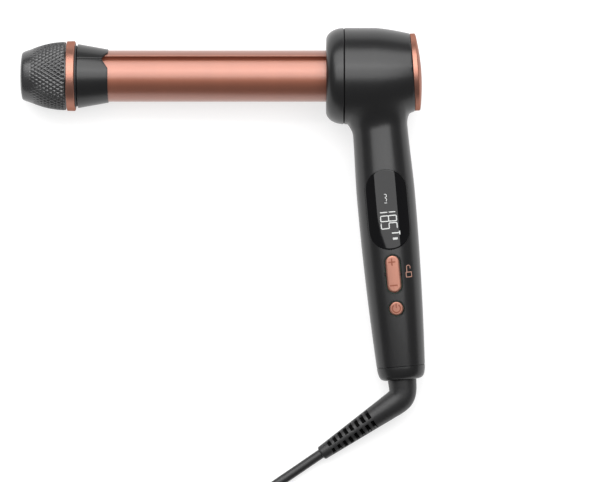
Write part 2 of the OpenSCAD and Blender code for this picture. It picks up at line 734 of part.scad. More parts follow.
module barrel_hub() color([0.3, 0.3, 0.3]) rested() difference() {
  along(0) turned([
    [5.5, -3], [bore_r - seat, -3], [bore_r - seat, hub_flange_x], [barrel_r + 2, hub_flange_x],
    [barrel_r + 2, hub_flange_x + 3], [shaft_r, hub_flange_x + 3],
    [shaft_r, rear_bulkhead_x + rear_bulkhead_t + 0.3],
    [shaft_r - 0.8, rear_bulkhead_x + rear_bulkhead_t + 0.3],
    [shaft_r - 0.8, rear_bulkhead_x + rear_bulkhead_t + 1.5],
    [shaft_r, rear_bulkhead_x + rear_bulkhead_t + 1.5],
    [shaft_r, rear_bulkhead_x + rear_bulkhead_t + 3], [5.5, rear_bulkhead_x + rear_bulkhead_t + 3]]);
  at_hub_screws() translate([0, 0, bore_r - 4]) cylinder(r = 1.1, h = 20);
  at_groove() translate([-4, -groove_w / 2 - liner_wall - 0.1, liner_floor - liner_wall - 0.1])
    cube([7.1, groove_w + 2 * liner_wall + 0.2, 10]);
}

module hub_screws() color(steel) rested() at_hub_screws() translate([0, 0, bore_r - 3.5])
  cylinder(r = 1.1, h = barrel_wall + 3.3);

module retaining_clip() color(steel) rested() along(rear_bulkhead_x + rear_bulkhead_t + 0.4)
  tube(shaft_r + 2.4, shaft_r - 0.75, 1);

module barrel_gear() color("ivory") rested() along(gear_x) rotate(-90)
  gear(gear_teeth, shaft_r + 0.02, gear_w);

module slip_ring_drum() color([0.2, 0.2, 0.2]) rested() along(drum_x - 0.4)
  tube(drum_r, shaft_r + 0.02, ring_pitch * ring_count + 0.5);

module slip_rings() color(brass) rested() at_rings() along(-1.1)
  tube(drum_r + ring_t, drum_r + 0.02, 2.2);

// ---- swivel, strain relief and lead ----

module swivel_retainer() color("ivory") rested() down_handle(retainer_s - 2)
  tube(foot_r - wall - 1.35, ferrule_r + running_play, 3.2);

module swivel_ferrule() color([0.3, 0.3, 0.32]) rested() down_handle(0) difference() {
  turned([[0, foot_s - 15], [3.6, foot_s - 15], [3.6, foot_s - 4.6], [ferrule_r + 1.2, foot_s - 4.6],
    [ferrule_r + 1.2, retainer_s - 2.2], [ferrule_r, retainer_s - 2.2], [ferrule_r, flange_s],
    [5.6, flange_s], [5.6, handle_l - 1], [0, handle_l - 1]]);
}

module at_swivel_rings() for (s = [foot_s - 13.4, foot_s - 8.8]) down_handle(s) children();

module swivel_rings() color(brass) rested() at_swivel_rings() tube(4.6, 3.6, 2.4);

block_s = foot_s - 14;

module contact_block() color("ivory") rested() down_handle(block_s) difference() {
  intersection() {
    translate([-9, -11.5, 0]) cube([18, 11, 8]);
    cylinder(r = foot_r - wall - 0.1, h = 20);
  }
  translate([0, 0, -1]) cylinder(r = 5.4, h = 20);
  for (s = [0.7, 5.3]) translate([0, -7, s + 1.1]) rotate([90, 0, 0])
    cylinder(r = 1, h = 10, center = true);
}

module contact_springs() color(brass) rested() for (s = [0.7, 5.3]) down_handle(block_s + s + 1.1)
  translate([0, -4.9, 0]) rotate([90, 0, 0]) cylinder(r = 0.95, h = 5);

module strain_relief() color(black) {
  rested() down_handle(0) difference() {
    union() {
      translate([0, 0, flange_s + 0.1]) cylinder(r = relief_r + 1.6, h = bore_s - flange_s - 0.5);
      translate([0, 0, flange_s + 1]) cylinder(r = relief_r, h = handle_l - flange_s + 0.4);
    }
    translate([0, 0, flange_s - 1]) cylinder(r = 5.65, h = handle_l - flange_s);
  }
  at_foot() swept(relief_route, relief_ends[0], relief_ends[1], 16);
}

module cord() color(black) at_foot() swept(cord_route, cord_r, cord_r, 10);

coil_half = coil_turns * cord_r;

module cord_coil() color(black) at_foot() translate([coil_at[0], coil_at[1], floor_table]) rotate_extrude()
  polygon([
  [coil_mid_r - coil_half, 1.5], [coil_mid_r - coil_half + 1.5, 0], [coil_mid_r + coil_half - 1.5, 0],
  [coil_mid_r + coil_half, 1.5], [coil_mid_r + coil_half, 2 * coil_half - 1.5],
  [coil_mid_r + coil_half - 1.5, 2 * coil_half], [coil_mid_r - coil_half + 1.5, 2 * coil_half],
  [coil_mid_r - coil_half, 2 * coil_half - 1.5]]);

floor_table = -29.4;             // the lead lies here

module cord_tie() color([0.2, 0.2, 0.2]) at_foot() translate([coil_at[0], coil_at[1], floor_table]) rotate(30)
  translate([coil_mid_r, 0, coil_half]) difference() {
    cube([2 * coil_half + 1.6, 8, 2 * coil_half + 1.6], center = true);
    cube([2 * coil_half - 0.4, 9, 2 * coil_half - 0.4], center = true);
  }

module plug_lead() color(black) at_foot() swept(tail_route, cord_r, cord_r, 10);

module plug_body() color(black) at_foot() translate([plug_at[0], plug_at[1], floor_table])
  linear_extrude(plug_t) polygon([
  [0, -5], [plug_l * 0.35, -plug_w / 2 + 4], [plug_l * 0.7, -plug_w / 2], [plug_l, -plug_w / 2],
  [plug_l, plug_w / 2], [plug_l * 0.7, plug_w / 2], [plug_l * 0.35, plug_w / 2 - 4], [0, 5]]);

module plug_pins() color(steel) at_foot() for (side = [-1, 1])
  translate([plug_at[0] + plug_l, plug_at[1] + side * pin_gap / 2, floor_table + plug_t / 2]) along(0)
    cylinder(r = pin_r, h = pin_l);

// ---- the part ----

front_cover();
housing_front();
housing_back();
end_cap();
bottom_cap();
bearing_frame();
front_bush();
rear_bush();
drive_motor();
gearbox();
motor_screws();
brush_holder();
brushes();
brush_springs();
main_board();
board_components();
display_module();
display_window();
tact_switches();
rocker_pin();
contact_block();
contact_springs();
swivel_retainer();
housing_screws();
board_screws();
inner_leads();
motor_shaft();
pinion();
barrel_tube();
slot_liner();
heat_spreader_upper();
heat_spreader_lower();
heater_stones();
electrode_strips();
thermistor();
thermal_fuse();
tip_core();
tip_collar();
tip_clip();
barrel_hub();
hub_screws();
barrel_gear();
slip_ring_drum();
slip_rings();
retaining_clip();
trim_ring();
tip_knob();
tip_hub();
rocker_button();
power_button();
swivel_ferrule();
swivel_rings();
strain_relief();
cord();
cord_coil();
cord_tie();
plug_lead();
plug_body();
plug_pins();
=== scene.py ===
import json
import math

import bmesh
import bpy
import numpy as np
from mathutils import Matrix, Vector


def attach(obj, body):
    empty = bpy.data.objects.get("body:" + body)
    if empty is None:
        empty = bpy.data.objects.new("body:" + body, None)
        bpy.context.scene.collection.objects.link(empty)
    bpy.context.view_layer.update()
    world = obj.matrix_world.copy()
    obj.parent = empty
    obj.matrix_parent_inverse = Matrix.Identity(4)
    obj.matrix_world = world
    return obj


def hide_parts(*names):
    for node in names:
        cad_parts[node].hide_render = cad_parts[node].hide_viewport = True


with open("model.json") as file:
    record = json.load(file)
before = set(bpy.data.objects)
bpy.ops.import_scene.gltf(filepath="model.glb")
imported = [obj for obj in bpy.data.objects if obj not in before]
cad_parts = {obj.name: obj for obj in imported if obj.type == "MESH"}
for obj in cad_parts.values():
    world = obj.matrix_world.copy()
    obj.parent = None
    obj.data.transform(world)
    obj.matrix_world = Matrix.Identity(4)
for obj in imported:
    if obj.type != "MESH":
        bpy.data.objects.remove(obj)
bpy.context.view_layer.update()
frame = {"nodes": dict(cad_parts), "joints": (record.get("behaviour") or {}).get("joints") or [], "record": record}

# Pieces are drawn in millimetres: x along the barrel towards the head, y up the head, z out of its face.
joints = {joint["name"]: joint for joint in frame["joints"]}
alongBarrel = Vector(joints["barrel_spin"]["axis"]).normalized()
outOfFace = -Vector(joints["power_press"]["axis"]).normalized()
upHead = outOfFace.cross(alongBarrel).normalized()
restTurn = Matrix((alongBarrel, upHead, outOfFace)).transposed().to_4x4()
toRow = restTurn @ Matrix.Scale(0.001, 4)
fromRow = toRow.inverted()

# The handle leans away from the barrel: its own frame has y up the handle and x across it.
handleDown = restTurn.inverted() @ Vector(joints["lead_swivel"]["axis"])
handleTilt = math.atan2(handleDown.x, -handleDown.y)
swivelPoint = fromRow @ Vector(joints["lead_swivel"]["pos_m"])
handleX = swivelPoint.x + swivelPoint.y * math.tan(handleTilt)
inHandle = Matrix.Translation((handleX, 0, 0)) @ Matrix.Rotation(handleTilt, 4, "Z")
downHandle = inHandle @ Matrix.Rotation(-math.pi / 2, 4, "Z")
onBarrel = Matrix.Identity(4)

head = {"r": 30, "coverEnd": 11.2, "straightEnd": 30, "length": 53.8, "rearR": 24.1, "rearRise": 2.4,
        "rearTilt": math.radians(4), "taper": 1.45, "wall": 2.2}
handle = {"neckR": 17.15, "bellyR": 18.2, "footR": 15.05, "neckS": 30, "bellyS": 77, "footS": 181.3,
          "fall": 1.9}
barrel = {"r": 16, "wall": 1.4, "tubeEnd": 149, "hubEnd": 9, "grooveTurn": math.radians(42), "grooveWidth": 3.8,
          "lip": 0.45, "rowsFrom": 140, "rows": 29, "columns": 200}

atRear = (Matrix.Translation((head["length"], head["rearRise"], 0))
          @ Matrix.Rotation(head["rearTilt"], 4, "Z"))


# camera, light and floor

view = {"distance": 2560, "centre": (-16.2, -102.7), "width": 373.6, "sensor": 36, "farthest": 20}
studio = {"surroundings": 0.2, "seen": 0.96, "aim": (-20, -60, 0)}
# each panel: its power in watts, its size and distance in metres, and where it hangs as seen from the object
panels = {
    "highPanel": {"power": 24.5, "distance": 1.25, "width": 2.4, "height": 1, "lift": 43, "turn": 0},
    "lowPanel": {"power": 15, "distance": 1.25, "width": 2.2, "height": 0.74, "lift": 10, "turn": 0},
}


def addCamera():
    data = bpy.data.cameras.new("camera")
    data.sensor_width = view["sensor"]
    data.lens = view["sensor"] * view["distance"] / view["width"]
    data.clip_end = view["farthest"]
    camera = bpy.data.objects.new("camera", data)
    bpy.context.scene.collection.objects.link(camera)
    place = restTurn.copy()
    place.translation = toRow @ Vector((*view["centre"], view["distance"]))
    camera.matrix_world = place
    bpy.context.scene.camera = camera


def addPanel(name, power, distance, width, height, lift, turn):
    data = bpy.data.lights.new(name, "AREA")
    data.shape = "RECTANGLE"
    data.size, data.size_y, data.energy = width, height, power
    panel = bpy.data.objects.new(name, data)
    bpy.context.scene.collection.objects.link(panel)
    aim = Matrix.Rotation(math.radians(turn), 4, "Y") @ Matrix.Rotation(math.radians(-lift), 4, "X")
    place = restTurn @ aim @ Matrix.Translation((0, 0, distance))
    place.translation += toRow @ Vector(studio["aim"])
    panel.matrix_world = place
    panel.visible_camera = False


def addWorld():
    world = bpy.data.worlds.new("studio")
    world.use_nodes = True
    nodes, links = world.node_tree.nodes, world.node_tree.links
    nodes.clear()
    path = nodes.new("ShaderNodeLightPath")
    mix, output = nodes.new("ShaderNodeMixShader"), nodes.new("ShaderNodeOutputWorld")
    links.new(path.outputs["Is Camera Ray"], mix.inputs["Fac"])
    for level, socket in ((studio["surroundings"], mix.inputs[1]), (studio["seen"], mix.inputs[2])):
        background = nodes.new("ShaderNodeBackground")
        background.inputs["Color"].default_value = (level, level, level, 1)
        links.new(background.outputs["Background"], socket)
    links.new(mix.outputs["Shader"], output.inputs["Surface"])
    bpy.context.scene.world = world


addCamera()
for name, panel in panels.items():
    addPanel(name, **panel)
addWorld()
bpy.context.scene.view_settings.view_transform = "Standard"
print("camera and light")


# finishes

def mapped(nodes, links, scale):
    coordinates = nodes.new("ShaderNodeTexCoord")
    mapping = nodes.new("ShaderNodeMapping")
    mapping.inputs["Scale"].default_value = scale
    links.new(coordinates.outputs["Object"], mapping.inputs["Vector"])
    return mapping.outputs["Vector"]


def noise(nodes, links, where, scale, detail):
    node = nodes.new("ShaderNodeTexNoise")
    node.inputs["Scale"].default_value = scale
    node.inputs["Detail"].default_value = detail
    links.new(where, node.inputs["Vector"])
    return node.outputs["Fac"]


bumpDepth = 0.00006  # metres


# patch and grain are the scales of the colour's clouds and of the surface's fine texture
def finish(name, colour, roughness, metallic=0.0, shift=0.12, patch=60, grain=900, stretch=(1, 1, 1), bump=0.03,
           coat=0.0, coatRoughness=0.2, coatIor=1.5, spread=0.06, specular=0.5, glow=0.0, edge=(1, 1, 1)):
    material = bpy.data.materials.new(name)
    material.use_nodes = True
    nodes, links = material.node_tree.nodes, material.node_tree.links
    shader = nodes["Principled BSDF"]
    for socket, value in (("Metallic", metallic), ("Specular IOR Level", specular), ("Specular Tint", (*edge, 1)),
                          ("Coat Weight", coat), ("Coat Roughness", coatRoughness), ("Coat IOR", coatIor)):
        shader.inputs[socket].default_value = value
    where = mapped(nodes, links, stretch)
    tint = nodes.new("ShaderNodeValToRGB")
    darker, paler = tint.color_ramp.elements
    darker.position, paler.position = 0.3, 0.7
    darker.color = (*[c * (1 - shift) for c in colour], 1)
    paler.color = (*[min(1, c * (1 + shift)) for c in colour], 1)
    links.new(noise(nodes, links, where, patch, 3), tint.inputs["Fac"])
    links.new(tint.outputs["Color"], shader.inputs["Base Color"])
    speckle = noise(nodes, links, where, grain, 2)
    rough = nodes.new("ShaderNodeMapRange")
    rough.inputs["To Min"].default_value = max(0.02, roughness - spread)
    rough.inputs["To Max"].default_value = roughness + spread
    links.new(speckle, rough.inputs["Value"])
    links.new(rough.outputs["Result"], shader.inputs["Roughness"])
    texture = nodes.new("ShaderNodeBump")
    texture.inputs["Strength"].default_value = bump
    texture.inputs["Distance"].default_value = bumpDepth
    links.new(speckle, texture.inputs["Height"])
    links.new(texture.outputs["Normal"], shader.inputs["Normal"])
    if glow:
        shader.inputs["Emission Color"].default_value = (*colour, 1)
        shader.inputs["Emission Strength"].default_value = glow
    return material


finishes = {
    "anodised_copper": finish("anodisedCopper", (0.33, 0.112, 0.063), 0.58, metallic=1, shift=0.03, patch=18,
                              grain=1500, stretch=(4, 0.4, 0.4), bump=0.02, coat=1, coatRoughness=0.3,
                              coatIor=1.75),
    "copper_trim": finish("copperTrim", (0.37, 0.175, 0.13), 0.38, metallic=0.95, shift=0.04, patch=60,
                          grain=2200, bump=0.04, edge=(0.66, 0.5, 0.45)),
    "black_casing": finish("blackCasing", (0.0078, 0.0078, 0.0082), 0.3, shift=0.1, patch=40, grain=2600,
                           bump=0.16, spread=0.05),
    "knurled_black": finish("knurledBlack", (0.02, 0.02, 0.021), 0.27, shift=0.15, patch=120, grain=2400,
                            bump=0.12, specular=0.85),
    "window_gloss": finish("windowGloss", (0.0025, 0.0025, 0.003), 0.05, shift=0.05, patch=30, grain=400,
                           bump=0.004, spread=0.012, specular=0.34),
    "nylon": finish("paleNylon", (0.66, 0.63, 0.54), 0.45, patch=90, bump=0.08),
    "dark_nylon": finish("darkNylon", (0.022, 0.022, 0.024), 0.46, patch=90, bump=0.1),
    "steel": finish("steel", (0.55, 0.55, 0.57), 0.3, metallic=1, patch=120, grain=1800, stretch=(1, 1, 6)),
    "brass": finish("brass", (0.7, 0.48, 0.18), 0.3, metallic=1, patch=120, grain=1500),
    "raw_aluminium": finish("rawAluminium", (0.72, 0.72, 0.74), 0.4, metallic=1, patch=70, stretch=(0.2, 4, 4)),
    "ceramic": finish("heaterCeramic", (0.28, 0.22, 0.17), 0.7, shift=0.2, patch=300, bump=0.2),
    "board": finish("boardGreen", (0.01, 0.09, 0.03), 0.35, shift=0.25, patch=260, coat=0.4),
    "components": finish("components", (0.02, 0.02, 0.025), 0.4, shift=0.3, patch=300),
    "lead_colour": finish("wireRed", (0.3, 0.015, 0.012), 0.4, patch=200),
    "rubber": finish("softRubber", (0.013, 0.013, 0.0135), 0.4, shift=0.15, patch=70, grain=1600, bump=0.2,
                     spread=0.08),
    "pins": finish("nickel", (0.72, 0.7, 0.66), 0.18, metallic=1, patch=90, grain=1400),
}
markWhite = finish("displayWhite", (0.47, 0.48, 0.47), 0.4, patch=200, shift=0.03, glow=0.25)
markFaint = finish("displayFaint", (0.5, 0.5, 0.5), 0.4, patch=200, shift=0.03, glow=0.12)
markCopper = finish("markCopper", (0.2, 0.062, 0.036), 0.45, metallic=0.6, patch=200, shift=0.05)
iconCopper = finish("iconCopper", (0.55, 0.3, 0.23), 0.4, metallic=0.3, patch=200, shift=0.05)
# slotShade is painted shade: a near-black finish that stands in for the shade inside the strain relief's slots
slotShade = finish("slotShade", (0.0012, 0.0012, 0.0012), 0.8, patch=200, shift=0.1, specular=0.1)
grooveCopper = finish("grooveCopper", (0.31, 0.125, 0.08), 0.5, metallic=0.6, patch=18, shift=0.03)
print("finishes")


# mesh tools

def pieceFrom(name, bm, place, body, slot, material=None, replaces=(), sharp=32, second=None):
    mesh = bpy.data.meshes.new(name)
    bm.to_mesh(mesh)
    bm.free()
    mesh.transform(toRow @ place)
    return meshPiece(name, mesh, body, slot, material, replaces, sharp, second)


def meshPiece(name, mesh, body, slot, material=None, replaces=(), sharp=32, second=None):
    which = [face.material_index for face in mesh.polygons]
    mesh.materials.clear()
    mesh.materials.append(material or finishes[slot])
    if second:
        mesh.materials.append(second)
        mesh.polygons.foreach_set("material_index", which)
    mesh.polygons.foreach_set("use_smooth", [True] * len(mesh.polygons))
    mesh.set_sharp_from_angle(angle=math.radians(sharp))
    piece = bpy.data.objects.new(name, mesh)
    bpy.context.scene.collection.objects.link(piece)
    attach(piece, body)
    if replaces:
        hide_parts(*replaces)
    return piece


def closed(bm):
    bmesh.ops.remove_doubles(bm, verts=bm.verts, dist=1e-4)
    bmesh.ops.recalc_face_normals(bm, faces=bm.faces)
    return bm


# walls between rings of points, with the first and last ring filled, or joined when the rings go round
def skinned(bm, rings, around=False, ends=True):
    for a, b in zip(rings, rings[1:] + (rings[:1] if around else [])):
        for k in range(len(a)):
            bm.faces.new((a[k - 1], a[k], b[k], b[k - 1]))
    if ends and not around:
        bm.faces.new(rings[0])
        bm.faces.new(rings[-1])
    return bm


def addPart(bm, part):
    scrap = bpy.data.meshes.new("scrap")
    part.to_mesh(scrap)
    part.free()
    bm.from_mesh(scrap)
    bpy.data.meshes.remove(scrap)


def holderOf(name, bm):
    mesh = bpy.data.meshes.new(name)
    bm.to_mesh(mesh)
    bm.free()
    holder = bpy.data.objects.new(name, mesh)
    bpy.context.scene.collection.objects.link(holder)
    return holder


def evaluated(holder):
    bpy.context.view_layer.update()
    mesh = bpy.data.meshes.new_from_object(holder.evaluated_get(bpy.context.evaluated_depsgraph_get()))
    holder.modifiers.clear()
    bpy.data.objects.remove(holder)
    return mesh


def filleted(corners, steps=5):
    points = []
    for i, (x, y, size) in enumerate(corners):
        here = Vector((x, y))
        back = Vector(corners[i - 1][:2]) - here
        ahead = Vector(corners[(i + 1) % len(corners)][:2]) - here
        if size <= 0 or back.length < 1e-6 or ahead.length < 1e-6:
            points.append((x, y))
            continue
        half = back.angle(ahead) / 2
        reach = min(size / math.tan(half), 0.45 * back.length, 0.45 * ahead.length)
        size = reach * math.tan(half)
        back.normalize()
        ahead.normalize()
        centre = here + (back + ahead).normalized() * (size / math.sin(half))
        first, last = here + back * reach, here + ahead * reach
        points.append(tuple(first + back * min(0.12, reach)))
        for k in range(steps + 1):
            spoke = (first - centre).lerp(last - centre, k / steps).normalized()
            points.append(tuple(centre + spoke * size))
        points.append(tuple(last + ahead * min(0.12, reach)))
    return points


def turned(profile, sides=160):
    bm = bmesh.new()
    turns = [2 * math.pi * k / sides for k in range(sides)]
    rings = []
    for along, r in profile:
        if r < 1e-6:
            rings.append([bm.verts.new((along, 0, 0))] * sides)
        else:
            rings.append([bm.verts.new((along, r * math.sin(t), r * math.cos(t))) for t in turns])
    for a, b in zip(rings, rings[1:] + rings[:1]):
        for k in range(sides):
            corners = list(dict.fromkeys((a[k], a[k - 1], b[k - 1], b[k])))
            if len(corners) > 2:
                bm.faces.new(corners)
    return closed(bm)


def swept(path, r, sides):
    bm = bmesh.new()
    points = [Vector(p) for p in path]
    side, rings = None, []
    for i, point in enumerate(points):
        way = (points[min(i + 1, len(points) - 1)] - points[max(i - 1, 0)]).normalized()
        side = side or way.orthogonal()
        side = (side - way * side.dot(way)).normalized()
        up = way.cross(side)
        rings.append([bm.verts.new(point + r * (math.cos(t) * side + math.sin(t) * up))
                      for t in (2 * math.pi * k / sides for k in range(sides))])
    return closed(skinned(bm, rings))


def smoothLine(points, step):
    p = np.array([points[0], *points, points[-1]], float)
    out = []
    for i in range(1, len(p) - 2):
        a, b, c, d = p[i - 1:i + 3]
        count = max(1, round(float(np.linalg.norm(c - b)) / step))
        for k in range(count):
            t = k / count
            out.append(0.5 * (2 * b + (c - a) * t + (2 * a - 5 * b + 4 * c - d) * t ** 2
                              + (3 * b - a - 3 * c + d) * t ** 3))
    return np.array([*out, p[-1]])


def evenly(points, step):
    points = np.array(points, float)
    lengths = np.concatenate([[0], np.cumsum(np.linalg.norm(np.diff(points, axis=0), axis=1))])
    marks = np.linspace(0, lengths[-1], max(2, round(lengths[-1] / step) + 1))
    return np.stack([np.interp(marks, lengths, points[:, k]) for k in range(3)], 1)


# the mains lead

# enter and leave are the angles where the lead joins and leaves the coil, and a change of lane takes changeOver
# degrees
lead = {"diameter": 6, "length": 1.8, "sides": 18, "spacing": 2.6, "coilCentre": (-35, -306),
        "laneRadii": (27, 33, 39), "laneHeights": (-26.4, -20.4, -14.4), "enter": 148.8, "leave": 293.3,
        "firstChange": 25, "change": 50, "changeOver": 60}
reliefRoute = [(48.1, -188.1, -15.1), (48.4, -191, -15.4), (48.6, -193.5, -15.7), (48.4, -196.7, -16),
               (47.1, -199.7, -16.3), (44, -202.5, -16.8), (40.5, -204.9, -17.3), (36.9, -207.4, -17.8),
               (30, -212.1, -18.9), (22, -217.6, -20.1), (14, -223.1, -21.4), (6, -228.6, -22.8),
               (-1.9, -234, -24)]
cordRoute = [(-1.9, -234, -24), (-9, -238.8, -25.1), (-17, -244.3, -25.9), (-25, -249.7, -26.3),
             (-33, -255.2, -26.4), (-41, -260.7, -26.4), (-49, -266, -26.4), (-56.8, -271.8, -26.4),
             (-63, -279, -26.4)]
tailRoute = [(-12, -337.8, -26.4), (-4, -334, -26.2), (5, -331.3, -25), (13, -330, -22.8), (20, -330, -22.6)]
# the lanes that the turns fill one after another, as (ring, layer)
coilLanes = [(2, 0), (1, 0), (0, 0), (0, 1), (1, 1), (0, 2), (1, 2), (2, 2), (2, 1), (2, 0)]


def coilPoints(step=6):
    total = 360 * (len(coilLanes) - 2) + (lead["leave"] - lead["enter"])
    points, angle = [], 0
    changes = [lead["change"] + 360 * k for k in range(len(coilLanes) - 1)]
    changes[0] = lead["firstChange"]
    while angle <= total:
        lane = 0
        while lane < len(changes) and angle > changes[lane]:
            lane += 1
        ring, layer = coilLanes[min(lane, len(coilLanes) - 1)]
        r, z = lead["laneRadii"][ring], lead["laneHeights"][layer]
        if 0 < lane:
            t = min(1, (angle - changes[lane - 1]) / lead["changeOver"])
            t = t * t * (3 - 2 * t)
            ring, layer = coilLanes[lane - 1]
            r = lead["laneRadii"][ring] * (1 - t) + r * t
            z = lead["laneHeights"][layer] * (1 - t) + z * t
        turn = math.radians(lead["enter"] + angle)
        points.append((lead["coilCentre"][0] + r * math.cos(turn), lead["coilCentre"][1] + r * math.sin(turn), z))
        angle += step
    return points


intoLocal = fromRow @ Matrix.Scale(0.001, 4)  # for what is drawn in the row's own millimetres
leadPath = evenly(smoothLine([*cordRoute, *coilPoints(), *tailRoute], 2), lead["spacing"])
cord = pieceFrom("mainsLead", swept(leadPath, lead["diameter"] / 2, lead["sides"]), intoLocal, "lead", "rubber",
                 replaces=("cord", "cord_coil", "plug_lead"))
print("lead", round(float(np.linalg.norm(np.diff(leadPath, axis=0), axis=1).sum())), "mm")


# strain relief

relief = {"rootR": 8.95, "endR": 4.4, "slots": 8, "pitch": 4.25, "slotLength": 2.2, "slotDepth": 3, "spine": 1.1,
          "firstSlot": 34.6, "endRound": 1.2, "rail": 0.55, "core": 3.5}


def reliefMesh(step=0.3, sides=96):
    path = evenly(smoothLine(reliefRoute, 0.5), step)
    total = (len(path) - 1) * step
    bm = bmesh.new()
    rings, depths = [], []
    for i, point in enumerate(path):
        point = Vector(point)
        way = Vector(path[min(i + 1, len(path) - 1)] - path[max(i - 1, 0)]).normalized()
        side = way.cross(outOfFace).normalized()
        front = side.cross(way)
        s = i * step
        r = relief["rootR"] + (relief["endR"] - relief["rootR"]) * s / total
        r -= relief["endRound"] * (1 - math.sqrt(max(0, 1 - max(0, (s - total) / relief["endRound"] + 1) ** 2)))
        ring, sunk = [], []
        for k in range(sides):
            t = 2 * math.pi * k / sides
            depth = slotDepth(s, r * math.cos(t), r)
            sunk.append(depth)
            ring.append(bm.verts.new(point + (r - depth) * (math.sin(t) * front + math.cos(t) * side)))
        rings.append(ring)
        depths.append(sunk)
    for a, b, sunkA, sunkB in zip(rings, rings[1:], depths, depths[1:]):
        for k in range(sides):
            face = bm.faces.new((a[k - 1], a[k], b[k], b[k - 1]))
            # faces sunk into a slot take the second finish, which is painted shade
            face.material_index = int(min(sunkA[k - 1], sunkA[k], sunkB[k], sunkB[k - 1]) > 0.02)
    bm.faces.new(rings[0])
    bm.faces.new(rings[-1])
    return closed(bm)


def slotDepth(s, across, r):
    n = round((s - relief["firstSlot"]) / relief["pitch"])
    n = min(max(n, 0), relief["slots"] - 1)
    along = abs(s - relief["firstSlot"] - n * relief["pitch"])
    edge = min((relief["slotLength"] / 2 - along) / 0.3, (abs(across) - relief["spine"]) / 0.4,
               (r - relief["rail"] - abs(across)) / 0.3)
    return min(relief["slotDepth"], r - relief["core"]) * min(1, max(0, edge))


strainRelief = pieceFrom("strainRelief", reliefMesh(), intoLocal, "lead", "rubber", replaces=("strain_relief",),
                         sharp=50, second=slotShade)


# plug, pins and tie

plug = {"at": (14, -330), "length": 36, "width": 35.3, "thick": 13.7, "round": 2.6, "pinR": 2, "pinLength": 19,
        "pinGap": 18.6}
plugOutline = [(0, -5), (6, -7.5), (13, -13.2), (19, -16.4), (26, -17.65), (35.4, -17.65), (36, -17.2),
               (36, 17.2), (35.4, 17.65), (26, 17.65), (19, 16.4), (13, 13.2), (6, 7.5), (0, 5)]


def insetOutline(points, inset):
    out = []
    for i, p in enumerate(points):
        a, b, c = Vector(points[i - 1]), Vector(p), Vector(points[(i + 1) % len(points)])
        way = (c - b).normalized() + (b - a).normalized()
        normal = Vector((-way.y, way.x)).normalized()
        out.append(b + normal * inset)
    return out


def pillow(outline, low, high, rounding, steps=6):
    layers = [(rounding * (1 - math.sin(a)), low + rounding * (1 - math.cos(a)))
              for a in (math.pi / 2 * k / steps for k in range(steps + 1))]
    layers += [(inset, high - (z - low)) for inset, z in reversed(layers)]
    bm = bmesh.new()
    rings = [[bm.verts.new((*p, z)) for p in insetOutline(outline, inset)] for inset, z in layers]
    return closed(skinned(bm, rings))


floorTable = min(lead["laneHeights"]) - lead["diameter"] / 2
atPlug = intoLocal @ Matrix.Translation((*plug["at"], floorTable))
roundOutline = evenly([(*p, 0) for p in plugOutline], 1.1)[:, :2]
plugShape = pillow([tuple(p) for p in roundOutline], 0, plug["thick"], plug["round"])
plugBody = pieceFrom("plugBody", plugShape, atPlug, "lead", "rubber", replaces=("plug_body",))


def pinMesh():
    r, end = plug["pinR"], plug["pinLength"]
    return turned(filleted([(-2, 0, 0), (-2, r, 0), (end, r, 1.3), (end, 0, 0)], 6), 40)


bothPins = bmesh.new()
for side in (-1, 1):
    part = pinMesh()
    bmesh.ops.translate(part, verts=part.verts,
                        vec=(plug["length"], side * plug["pinGap"] / 2, plug["thick"] / 2))
    addPart(bothPins, part)
plugPins = pieceFrom("plugPins", bothPins, atPlug, "lead", "pins", replaces=("plug_pins",))

tie = {"turn": math.radians(30), "middle": 9, "width": 8, "half": 9.8, "thick": 0.9, "round": 3.2}


def tieMesh():
    h, f = tie["half"], tie["round"]
    outer = filleted([(-h, -h, f), (h, -h, f), (h, h, f), (-h, h, f)], 6)
    inner = insetOutline(outer, tie["thick"])
    bm = bmesh.new()
    rings = [[bm.verts.new((p[0], y * tie["width"] / 2, p[1])) for p in points]
             for points, y in ((outer, -1), (outer, 1), (inner, 1), (inner, -1))]
    return closed(skinned(bm, rings, around=True))


atTie = (intoLocal @ Matrix.Translation((*lead["coilCentre"], floorTable + tie["middle"]))
         @ Matrix.Rotation(tie["turn"], 4, "Z") @ Matrix.Translation((lead["laneRadii"][1], 0, 0)))
cordTie = pieceFrom("cordTie", tieMesh(), atTie, "lead", "rubber", replaces=("cord_tie",))
print("strain relief, plug and tie")


# tip

collar = {"back": -154.4, "backR": 20, "front": -135.4, "frontR": 16.6, "innerR": 16.06, "notch": 3.9,
          "notchUp": 6.2, "notchDown": 6.6, "crease": 0.6, "creaseWidth": 0.3, "creaseTurn": math.radians(7.5),
          "creaseRun": 19.4, "turn": math.radians(38.3), "fineTo": 32, "rim": 0.5}
ring = {"back": -161.15, "front": -155.95, "r": 21.8, "innerR": 20}
knob = {"end": -189.6, "sides": 480, "around": 47, "pitch": 4.36, "depth": 1.05, "knurlFrom": -183.8,
        "knurlTo": -162.9, "runout": 0.8, "softness": 0.12, "step": 0.3}
knobProfile = [(-189.3, 12), (-189.1, 13.8), (-188, 15.1), (-183, 16.9), (-179.3, 18.3), (-174.5, 19.75),
               (-169.8, 20.7), (-166, 21.15), (-163, 21.3)]


